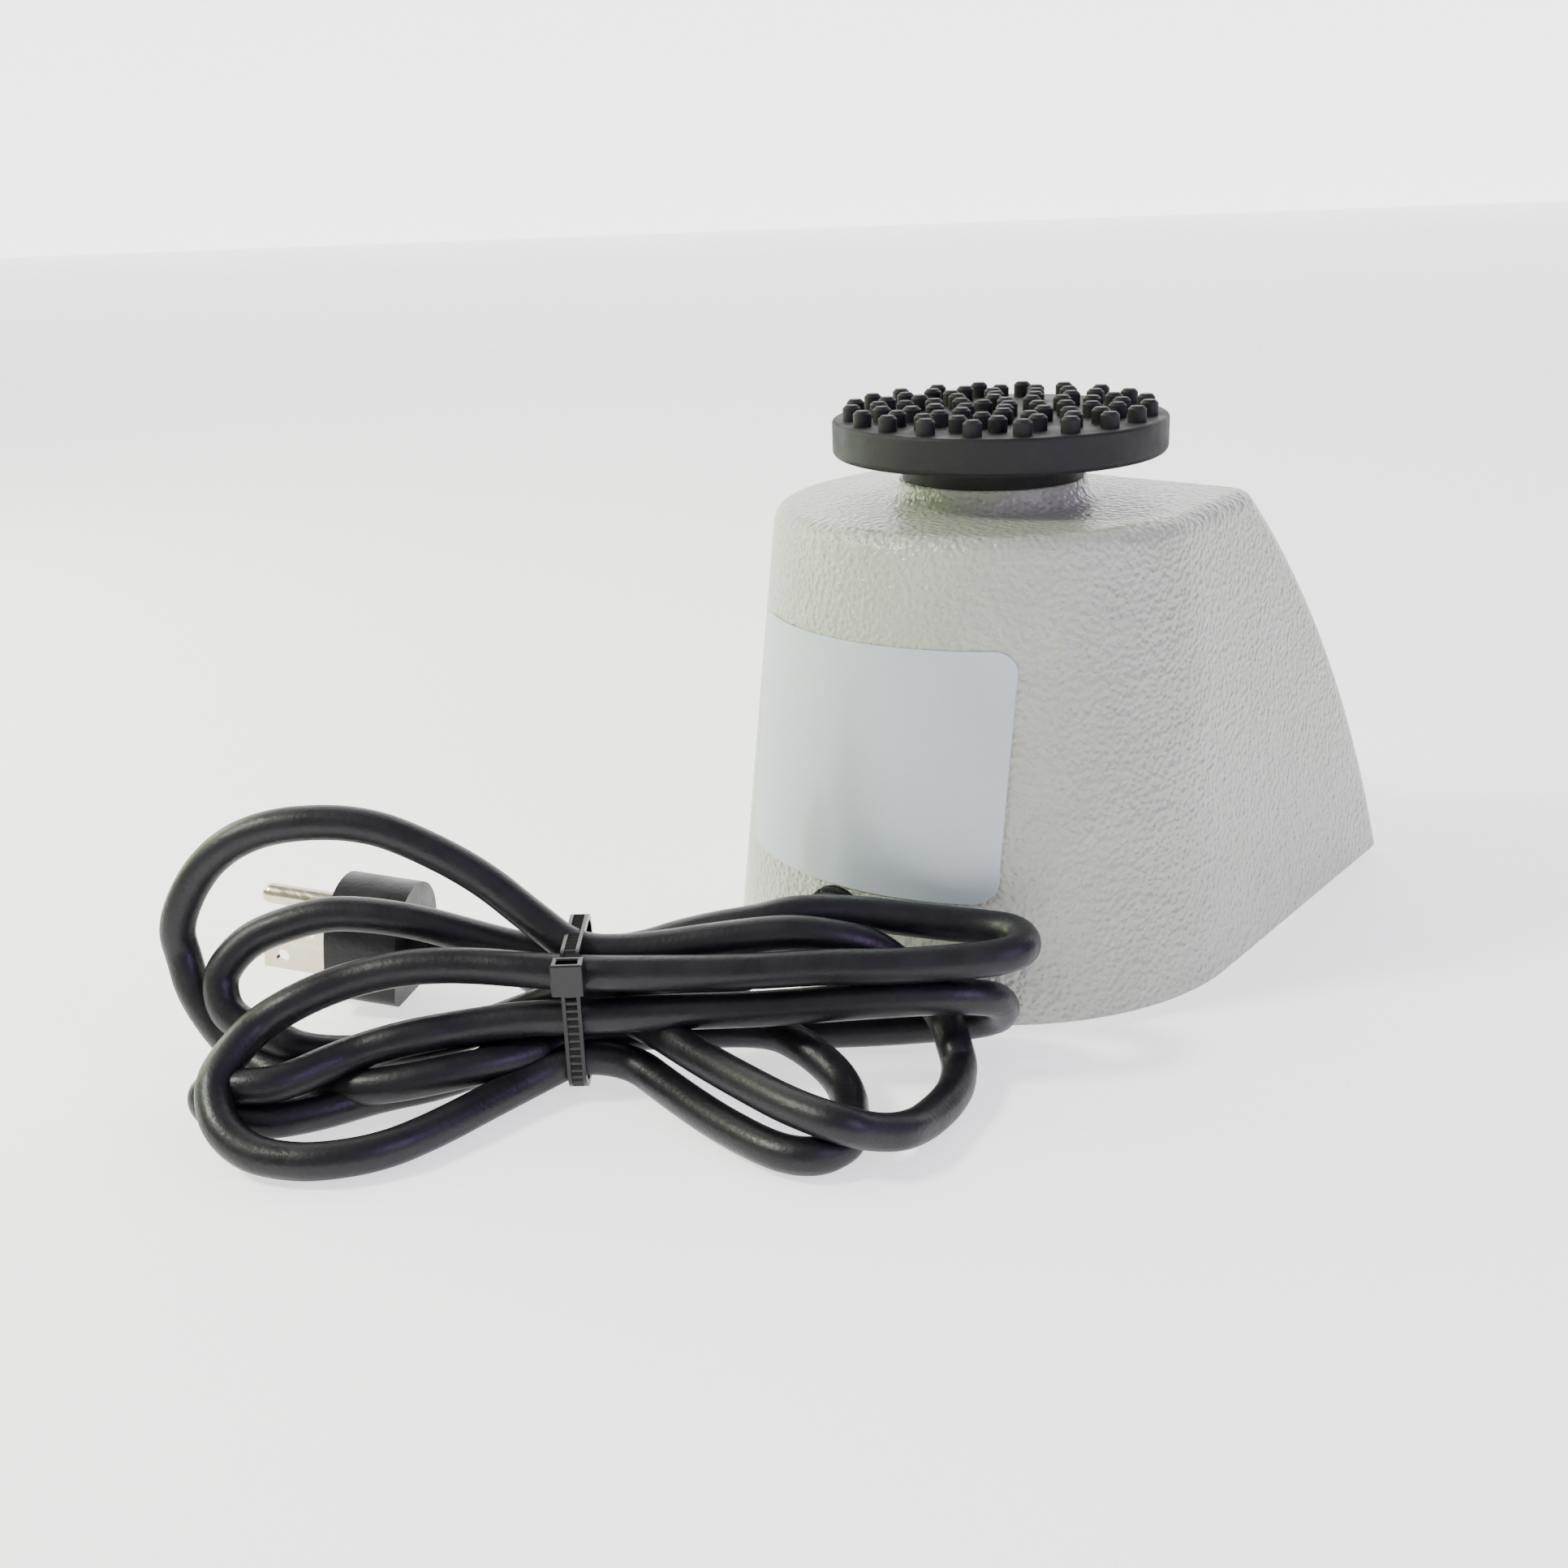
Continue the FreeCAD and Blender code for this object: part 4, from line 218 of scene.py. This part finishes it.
def plastic(name, colour, roughness=0.42, grain=1500.0, depth=0.00006, coat=0.0, specular=0.5,
            patches=90.0):
    """Moulded plastic with a fine grain and a slow change of colour and gloss."""
    mat = material(name, colour, roughness=roughness, coat=coat, specular=specular)
    fine = noise(mat, grain, detail=2.0)
    broad = noise(mat, patches, detail=3.0)
    bumps(mat, [(fine, "Fac", depth, 0.5)])
    tint(mat, broad, tuple(c * 0.88 for c in colour), tuple(min(1.0, c * 1.14) for c in colour))
    vary(mat, broad, "Roughness", roughness - 0.06, roughness + 0.08)
    return mat


def cord_jacket():
    """Black PVC with a leathery skin and a faint violet bloom."""
    mat = plastic("cord_pvc", (0.0055, 0.0048, 0.0075), roughness=0.40, specular=0.34, patches=160.0)
    skin = noise(mat, 900.0, detail=3.0)
    fine = noise(mat, 3200.0, detail=2.0)
    bumps(mat, [(skin, "Fac", 0.00018, 0.5), (fine, "Fac", 0.00006, 0.5)])
    return mat


def metal(name, colour, roughness=0.3, stretch=(1.0, 1.0, 14.0), scale=240.0, depth=0.00003):
    """Metal with fine streaks; stretch is the ratio of the streaks' scales along x, y and z."""
    mat = material(name, colour, roughness=roughness, metallic=1.0)
    streaks = noise(mat, scale, detail=4.0, stretch=stretch)
    broad = noise(mat, 70.0, detail=3.0)
    bumps(mat, [(streaks, "Fac", depth, 0.4)])
    tint(mat, broad, tuple(c * 0.93 for c in colour), tuple(min(1.0, c * 1.05) for c in colour))
    vary(mat, streaks, "Roughness", roughness - 0.08, roughness + 0.1)
    return mat


def label_film():
    """Pale silver polyester with a satin face."""
    mat = material("label_film", (0.40, 0.46, 0.49), roughness=0.34, metallic=0.25, coat=0.2)
    fine = noise(mat, 2600.0, detail=2.0)
    broad = noise(mat, 45.0, detail=3.0)
    bumps(mat, [(broad, "Fac", 0.00025, 0.2), (fine, "Fac", 0.00003, 0.4)])
    tint(mat, broad, (0.385, 0.44, 0.47), (0.42, 0.48, 0.51))
    vary(mat, broad, "Roughness", 0.28, 0.40)
    return mat


MATERIALS = {
    "housing_paint": powder_coat(),
    "platform_rubber": rubber("platform_rubber", 0.0055, 0.6),
    "black_rubber": rubber("black_rubber", 0.006, 0.58),
    "cord_pvc": cord_jacket(),
    "black_nylon": plastic("black_nylon", (0.006, 0.006, 0.0065), roughness=0.3, specular=0.4),
    "knob_plastic": plastic("knob_plastic", (0.012, 0.012, 0.013), roughness=0.38),
    "pointer_paint": plastic("pointer_paint", (0.8, 0.8, 0.78), roughness=0.5),
    "overlay_film": plastic(
        "overlay_film", (0.055, 0.062, 0.07), roughness=0.45, grain=2600.0, depth=0.00004,
    ),
    "switch_plastic": plastic("switch_plastic", (0.008, 0.008, 0.008), roughness=0.22, coat=0.3),
    "label_film": label_film(),
    "dark_plastic": plastic("dark_plastic", (0.012, 0.012, 0.012), roughness=0.45),
    "white_plastic": plastic("white_plastic", (0.66, 0.66, 0.62), roughness=0.42),
    "fan_plastic": plastic("fan_plastic", (0.62, 0.60, 0.54), roughness=0.4),
    "component_plastic": plastic("component_plastic", (0.55, 0.38, 0.06), roughness=0.4),
    "board_laminate": plastic("board_laminate", (0.02, 0.12, 0.05), roughness=0.35, coat=0.3),
    "steel": metal("steel", (0.56, 0.56, 0.57), 0.26),
    "zinc_steel": metal("zinc_steel", (0.60, 0.61, 0.58), 0.34, stretch=(8.0, 1.0, 1.0)),
    "aluminium": metal("aluminium", (0.66, 0.67, 0.68), 0.42, stretch=(1.0, 1.0, 1.0), scale=600.0),
    "bronze": metal("bronze", (0.50, 0.30, 0.13), 0.4),
    "lamination": metal("lamination", (0.20, 0.21, 0.23), 0.45, stretch=(1.0, 1.0, 40.0), scale=60.0),
    "copper": metal("copper", (0.50, 0.19, 0.07), 0.3, stretch=(1.0, 1.0, 20.0), scale=120.0),
    "brass": metal("brass", (0.60, 0.52, 0.40), 0.24, stretch=(1.0, 6.0, 1.0)),
}


# ---------------------------------------------------------------- mains cord
CORD_DIAMETER = 0.0074
CORD_ORDER = 3
HANK_ORIGIN = Vector((0.022, 0.138, 0.0))
HANK_TURN = math.radians(41.0)
HANK_ALONG = Vector((math.cos(HANK_TURN), math.sin(HANK_TURN), 0.0))
HANK_OUT = Vector((-math.sin(HANK_TURN), math.cos(HANK_TURN), 0.0))
HANK_UP = Vector((0.0, 0.0, 1.0))


def hank_point(along, out, up):
    """A point of the hank, given in millimetres along it, out from the mixer and up."""
    return HANK_ORIGIN + (HANK_ALONG * along + HANK_OUT * out + HANK_UP * up) * MM


# The route of the cord in hank coordinates: from the strain relief through the tie, loop by
# loop, and back through the tie to the plug.
ROUTE = [
    (-41.9, -14.0, 20), (-39.6, -12.0, 20), (-30, -2, 18), (-20, 1, 17), (-10, -5, 17), (0, -8, 16),
    (10, -3, 9),
    (20, 5, 5),
    # low loop away from the mixer
    (29, 10, 4), (40, 14, 4), (51, 21, 4), (61, 25, 4.5), (70, 25, 6), (74, 20, 9), (66, 24, 12),
    (57, 24, 12),
    (46, 14, 13), (34, 13, 16), (22.5, 9, 16), (11, 8, 17), (0, 8, 17),
    # loop towards the mixer, over and back
    (-18, 9, 18), (-38, 9, 18), (-57, 9, 19), (-70, 9, 19.5), (-80, 8, 19), (-87, 4, 16), (-88, -2, 9.5),
    (-82, -6, 6), (-72, -8, 4.5), (-60, -8, 4), (-44, -8, 4), (-30, -8, 5), (-15, -5, 10), (0, 0, 19),
    # middle loop away from the mixer
    (14, 0, 14), (30, 2, 9), (45, 4, 8), (57.5, 6, 10), (64, 4, 13), (73, 2, 16), (75.5, -2, 22.5),
    (73, -4, 27),
    (68, -6, 31), (60, -7, 33.5), (52, -8, 35), (42, -8, 34), (33, -8, 32), (24, -8, 29),
    (12, -8, 25), (0, -8, 24),
    # upper loop towards the mixer
    (-11, -8, 24), (-24, -8, 28), (-38, -8, 30), (-45, -9, 31.5), (-58, -10, 30.5), (-72, -9, 28.5),
    (-85, -7, 27.5), (-91, -3, 28), (-92, 4, 28), (-88, 9, 28), (-77, 9, 27), (-64, 9, 26.5), (-51, 9, 27),
    (-38, 9, 26.5), (-25, 9, 26.5), (-6, 9, 27), (0, 8, 27),
    # loop that falls outwards, away from the mixer
    (10, 8, 28), (22, 6, 28.5), (34, 6, 28.5), (46, 6, 26), (54.5, 9.5, 24), (63, 12, 20), (67, 18, 17),
    (69.5, 24, 14), (69, 28, 11), (66.5, 33, 8), (61, 37, 5), (54, 39, 4), (46, 40, 4), (35, 37, 4),
    (26, 29, 4),
    (16, 18, 4.5), (9, 11, 5), (0, 7, 8),
    # loop on the table towards the mixer
    (-11, 7, 6), (-18, 15, 4.5), (-28, 28, 4), (-38, 39, 4), (-44, 43, 4), (-50, 43, 4), (-55, 37, 4),
    (-55, 28, 4),
    (-55, 20, 4), (-52, 13, 6), (-46, 7, 8.5), (-39, 0, 9), (-20, -2, 8), (0, 0, 9),
    # tall loop away from the mixer
    (12, 10, 9), (22, 15, 9.5), (34, 18, 8.5), (45, 17, 7), (55, 13, 6), (63, 8, 6), (74, 0, 9),
    (81.5, -4, 19),
    (84, -8, 26), (85, -8, 33), (80, -9, 43), (73, -9, 50), (64, -9, 54), (53, -9, 55), (43, -9, 54),
    (34, -8, 51),
    (20, -7, 43), (9, -4, 34), (0, 0, 28),
    # last loop towards the mixer, down to the table and back
    (-12, 0, 27.5), (-32, 0, 30), (-45, 0, 31), (-55, 0, 29), (-62, -2, 26), (-70, -3, 18), (-76, 0, 10),
    (-77, 8, 8), (-78, 11, 4.5), (-76, 21, 4), (-70, 31, 4), (-65, 38.5, 6), (-59, 42, 8), (-53, 45, 11.5),
    (-44, 39, 12), (-35, 29, 12), (-25, 17, 12), (-14, 4, 13), (-7, -3, 12), (0, -8, 9),
    # lead to the plug
    (7, -17, 9), (14, -28, 10), (24.4, -34, 11.9), (27.3, -34.6, 12.2),
]


def make_cord(ties):
    """The whole cord as one smooth curve. The pieces of its tie, passed as ties, are not used."""
    data = bpy.data.curves.new("mains_cord", "CURVE")
    data.dimensions = "3D"
    data.bevel_depth = CORD_DIAMETER / 2
    data.bevel_resolution = 6
    data.resolution_u = 10
    data.use_fill_caps = True
    spline = data.splines.new("NURBS")
    spline.points.add(len(ROUTE) - 1)
    for point, place in zip(spline.points, ROUTE):
        point.co = (*hank_point(*place), 1.0)
    spline.order_u = CORD_ORDER
    spline.use_endpoint_u = True
    cord = bpy.data.objects.new("mains_cord", data)
    bpy.context.collection.objects.link(cord)
    data.materials.append(MATERIALS["cord_pvc"])
    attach(cord, "mixer")
    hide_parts("cord_lead", "cord_hank", "cord_plug_lead")
    return cord


# ---------------------------------------------------------------- materials of the CAD pieces
SLOTS = {item["node"]: item["material_slot"] for item in frame["record"]["subparts"]}
NODE_FINISH = {"strain_relief": dimpled_rubber()}
for label, item in frame["nodes"].items():
    item.data.materials.clear()
    item.data.materials.append(NODE_FINISH.get(label, MATERIALS[SLOTS[label]]))


# ---------------------------------------------------------------- cable tie
TIE_LOW, TIE_HIGH = 1.9, 32.5
TIE_HALF_DEPTH = 13.1
TIE_CORNER = 5.0
TIE_THICKNESS = 1.3
TIE_WIDTH = 3.8
TIE_RAIL = 0.75
TIE_RUNG_DEPTH = 0.45
TIE_STEP = 0.55
TIE_HEAD = {"out": (12.45, 16.85), "up": (25.7, 32.5), "along": (-3.2, 3.2)}
TIE_WINDOW_WALL = 1.1
TIE_HEAD_ROUNDING = 0.3
TIE_RUNG_EVERY = 3


def tie_path():
    """Points and outward directions round the strap, in (out, up) of the hank."""
    half_height = (TIE_HIGH - TIE_LOW) / 2
    middle = (TIE_HIGH + TIE_LOW) / 2
    across = TIE_HALF_DEPTH - TIE_CORNER
    upward = half_height - TIE_CORNER
    places = []
    for quarter, (out_sign, up_sign) in enumerate([(1, 1), (-1, 1), (-1, -1), (1, -1)]):
        centre = Vector((out_sign * across, middle + up_sign * upward))
        steps = round(TIE_CORNER * math.pi / 2 / TIE_STEP)
        for step in range(steps + 1):
            angle = math.pi / 2 * (quarter + step / steps)
            outward = Vector((math.cos(angle), math.sin(angle)))
            places.append((centre + outward * TIE_CORNER, outward))
        run = 2 * (upward if quarter % 2 else across)
        heading = Vector((-outward.y, outward.x))
        start = places[-1][0]
        count = round(run / TIE_STEP)
        places += [(start + heading * (run * step / count), outward) for step in range(1, count)]
    return places


def mesh_piece(name, corners, faces, slot, bevel=0.0):
    """A mesh object that rides the mixer, with an optional rounding of its edges."""
    data = bpy.data.meshes.new(name)
    data.from_pydata([tuple(corner) for corner in corners], [], faces)
    data.validate()
    data.update()
    piece = bpy.data.objects.new(name, data)
    bpy.context.collection.objects.link(piece)
    data.materials.append(MATERIALS[slot])
    if bevel:
        rounding = piece.modifiers.new("rounding", "BEVEL")
        rounding.width = bevel
        rounding.segments = 2
        rounding.limit_method = "ANGLE"
    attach(piece, "mixer")
    return piece


def tie_section(face, outward, raised):
    """Eight corners of the strap: two rails with a rung, or a gap, between them."""
    half = TIE_WIDTH / 2
    floor = 0.0 if raised else -TIE_RUNG_DEPTH
    profile = [
        (-half, -TIE_THICKNESS), (-half, 0.0), (TIE_RAIL - half, 0.0), (TIE_RAIL - half, floor),
        (half - TIE_RAIL, floor), (half - TIE_RAIL, 0.0), (half, 0.0), (half, -TIE_THICKNESS),
    ]
    corners = []
    for along, rise in profile:
        place = face + outward * rise
        corners.append(hank_point(along, place.x, place.y))
    return corners


def make_tie_strap():
    places = tie_path()
    corners = []
    for index, (place, outward) in enumerate(places):
        corners += tie_section(place, outward, index % TIE_RUNG_EVERY == 0)
    sides = 8
    faces = []
    for index in range(len(places)):
        following = (index + 1) % len(places)
        for side in range(sides):
            beside = (side + 1) % sides
            faces.append((
                index * sides + side, index * sides + beside,
                following * sides + beside, following * sides + side,
            ))
    return mesh_piece("cable_tie_strap", corners, faces, "black_nylon")


def make_tie_head():
    """The square head: four walls round a window that the strap passes up through."""
    (out_low, out_high), (up_low, up_high) = TIE_HEAD["out"], TIE_HEAD["up"]
    along_low, along_high = TIE_HEAD["along"]
    wall = TIE_WINDOW_WALL
    corners = []
    for up in (up_low, up_high):
        for inset in (0.0, wall):
            corners += [
                hank_point(along_low + inset, out_low + inset, up),
                hank_point(along_high - inset, out_low + inset, up),
                hank_point(along_high - inset, out_high - inset, up),
                hank_point(along_low + inset, out_high - inset, up),
            ]
    faces = []
    for side in range(4):
        beside = (side + 1) % 4
        faces.append((side, beside, 8 + beside, 8 + side))
        faces.append((4 + beside, 4 + side, 12 + side, 12 + beside))
        faces.append((beside, side, 4 + side, 4 + beside))
        faces.append((8 + side, 8 + beside, 12 + beside, 12 + side))
    return mesh_piece("cable_tie_head", corners, faces, "black_nylon", bevel=TIE_HEAD_ROUNDING * MM)


strap = make_tie_strap()
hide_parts("cable_tie")
make_cord([strap, make_tie_head()])


# ---------------------------------------------------------------- dial marks on the front panel
DIAL_TICKS = 11
DIAL_SWEEP = math.radians(270.0)
TICK_INNER, TICK_OUTER = 15.6, 18.6
TICK_HALF_WIDTH = 0.35
TICK_RISE = 0.12
LONG_TICK_EVERY = 5
LONG_TICK_EXTRA = 0.8


def panel_frame():
    """Middle of the knob on the overlay's face, with the panel's across, up and outward directions."""
    dial = next(joint for joint in frame["joints"] if joint["name"] == "speed_turn")
    outward = -Vector(dial["axis"]).normalized()
    across = Vector((1.0, 0.0, 0.0))
    slope = outward.cross(across)
    face = max(outward.dot(corner.co) for corner in frame["nodes"]["panel_overlay"].data.vertices)
    centre = Vector(dial["pos_m"])
    return centre + outward * (face - outward.dot(centre)), across, slope, outward


def make_ticks():
    """Raised paint marks over the knob's travel, clockwise from where its pointer rests."""
    centre, across, slope, outward = panel_frame()
    corners = []
    faces = []
    for index in range(DIAL_TICKS):
        angle = math.pi / 2 - DIAL_SWEEP * index / (DIAL_TICKS - 1)
        radial = across * math.cos(angle) + slope * math.sin(angle)
        sideways = slope * math.cos(angle) - across * math.sin(angle)
        reach = TICK_OUTER + (LONG_TICK_EXTRA if index % LONG_TICK_EVERY == 0 else 0.0)
        start = len(corners)
        for rise in (-TICK_RISE, TICK_RISE):
            for length, side in ((TICK_INNER, -1), (reach, -1), (reach, 1), (TICK_INNER, 1)):
                offset = radial * length + sideways * side * TICK_HALF_WIDTH + outward * rise
                corners.append(centre + offset * MM)
        box = [(3, 2, 1, 0), (4, 5, 6, 7), (0, 1, 5, 4), (1, 2, 6, 5), (2, 3, 7, 6), (3, 0, 4, 7)]
        faces += [tuple(start + corner for corner in face) for face in box]
    return mesh_piece("dial_marks", corners, faces, "pointer_paint")


make_ticks()


# ---------------------------------------------------------------- floor, world and lights
CAMERA_RIGHT = CAMERA_FORWARD.cross(CAMERA_UP).normalized()
FLOOR_GLOW = 1.25
SKY_STRENGTH = 0.62
BACKDROP_DISTANCE = 5.0
STAGE_SIZE = 16.0
FLOOR_DROP = 0.0004
BACKDROP_GLOW = 2.3


def glowing_white(name, glow):
    """Matt white that glows a little, as an overexposed studio sweep does."""
    white = material(name, (0.93, 0.93, 0.93), roughness=0.9, specular=0.1)
    bsdf = white.node_tree.nodes["Principled BSDF"]
    bsdf.inputs["Emission Color"].default_value = (1.0, 1.0, 1.0, 1.0)
    bsdf.inputs["Emission Strength"].default_value = glow
    return white


def make_studio():
    """A white table and, far behind the mixer, a white backdrop that hides the horizon."""
    bpy.ops.mesh.primitive_plane_add(size=STAGE_SIZE, location=(0.0, 0.0, -FLOOR_DROP))
    floor = bpy.context.object
    floor.name = "floor"
    floor.data.materials.append(glowing_white("floor_white", FLOOR_GLOW))
    ahead = Vector((CAMERA_FORWARD.x, CAMERA_FORWARD.y, 0.0)).normalized()
    bpy.ops.mesh.primitive_plane_add(size=STAGE_SIZE, location=ahead * BACKDROP_DISTANCE)
    backdrop = bpy.context.object
    backdrop.name = "backdrop"
    backdrop.rotation_euler = ahead.to_track_quat("Z", "Y").to_euler()
    backdrop.data.materials.append(glowing_white("backdrop_white", BACKDROP_GLOW))


SKY_SIDES = [
    (0.0, (0.86, 0.98, 0.66, 1.0)),
    (0.5, (1.0, 1.0, 1.0, 1.0)),
    (1.0, (0.30, 0.24, 0.42, 1.0)),
]


def make_world():
    """A white room, cream on the left of the picture and a dim lilac on its right."""
    world = bpy.data.worlds.new("studio")
    world.use_nodes = True
    tree = world.node_tree
    place = tree.nodes.new("ShaderNodeTexCoord")
    across = tree.nodes.new("ShaderNodeVectorMath")
    across.operation = "DOT_PRODUCT"
    across.inputs[1].default_value = CAMERA_RIGHT
    spread = tree.nodes.new("ShaderNodeMapRange")
    spread.inputs["From Min"].default_value = -1.0
    sides = tree.nodes.new("ShaderNodeValToRGB")
    ramp = sides.color_ramp
    ramp.elements.new(SKY_SIDES[1][0])
    for element, (position, colour) in zip(ramp.elements, SKY_SIDES):
        element.position = position
        element.color = colour
    background = tree.nodes["Background"]
    background.inputs["Strength"].default_value = SKY_STRENGTH
    tree.links.new(place.outputs["Generated"], across.inputs[0])
    tree.links.new(across.outputs["Value"], spread.inputs["Value"])
    tree.links.new(spread.outputs["Result"], sides.inputs["Fac"])
    tree.links.new(sides.outputs["Color"], background.inputs["Color"])
    bpy.context.scene.world = world


def area_light(name, place, aim, size, power, colour):
    """A soft round light that points at a place."""
    data = bpy.data.lights.new(name, "AREA")
    data.shape = "DISK"
    data.size = size
    data.energy = power
    data.color = colour
    lamp = bpy.data.objects.new(name, data)
    bpy.context.collection.objects.link(lamp)
    lamp.location = place
    lamp.rotation_euler = (Vector(aim) - Vector(place)).to_track_quat("-Z", "Y").to_euler()


make_studio()
make_world()
# Name, place, aim, width in metres, watts and colour of each light.
LIGHTS = [
    ("key", (0.45, 0.70, 0.75), (0.0, 0.05, 0.08), 0.22, 12.0, (0.97, 1.0, 0.88)),
    ("cream_side", (0.85, 0.30, 0.35), (0.0, 0.05, 0.06), 0.5, 5.0, (0.80, 1.0, 0.50)),
    ("lilac_edge", (-0.7, 0.1, 0.40), (0.0, 0.0, 0.07), 0.4, 3.2, (0.66, 0.48, 1.0)),
]
for light in LIGHTS:
    area_light(*light)
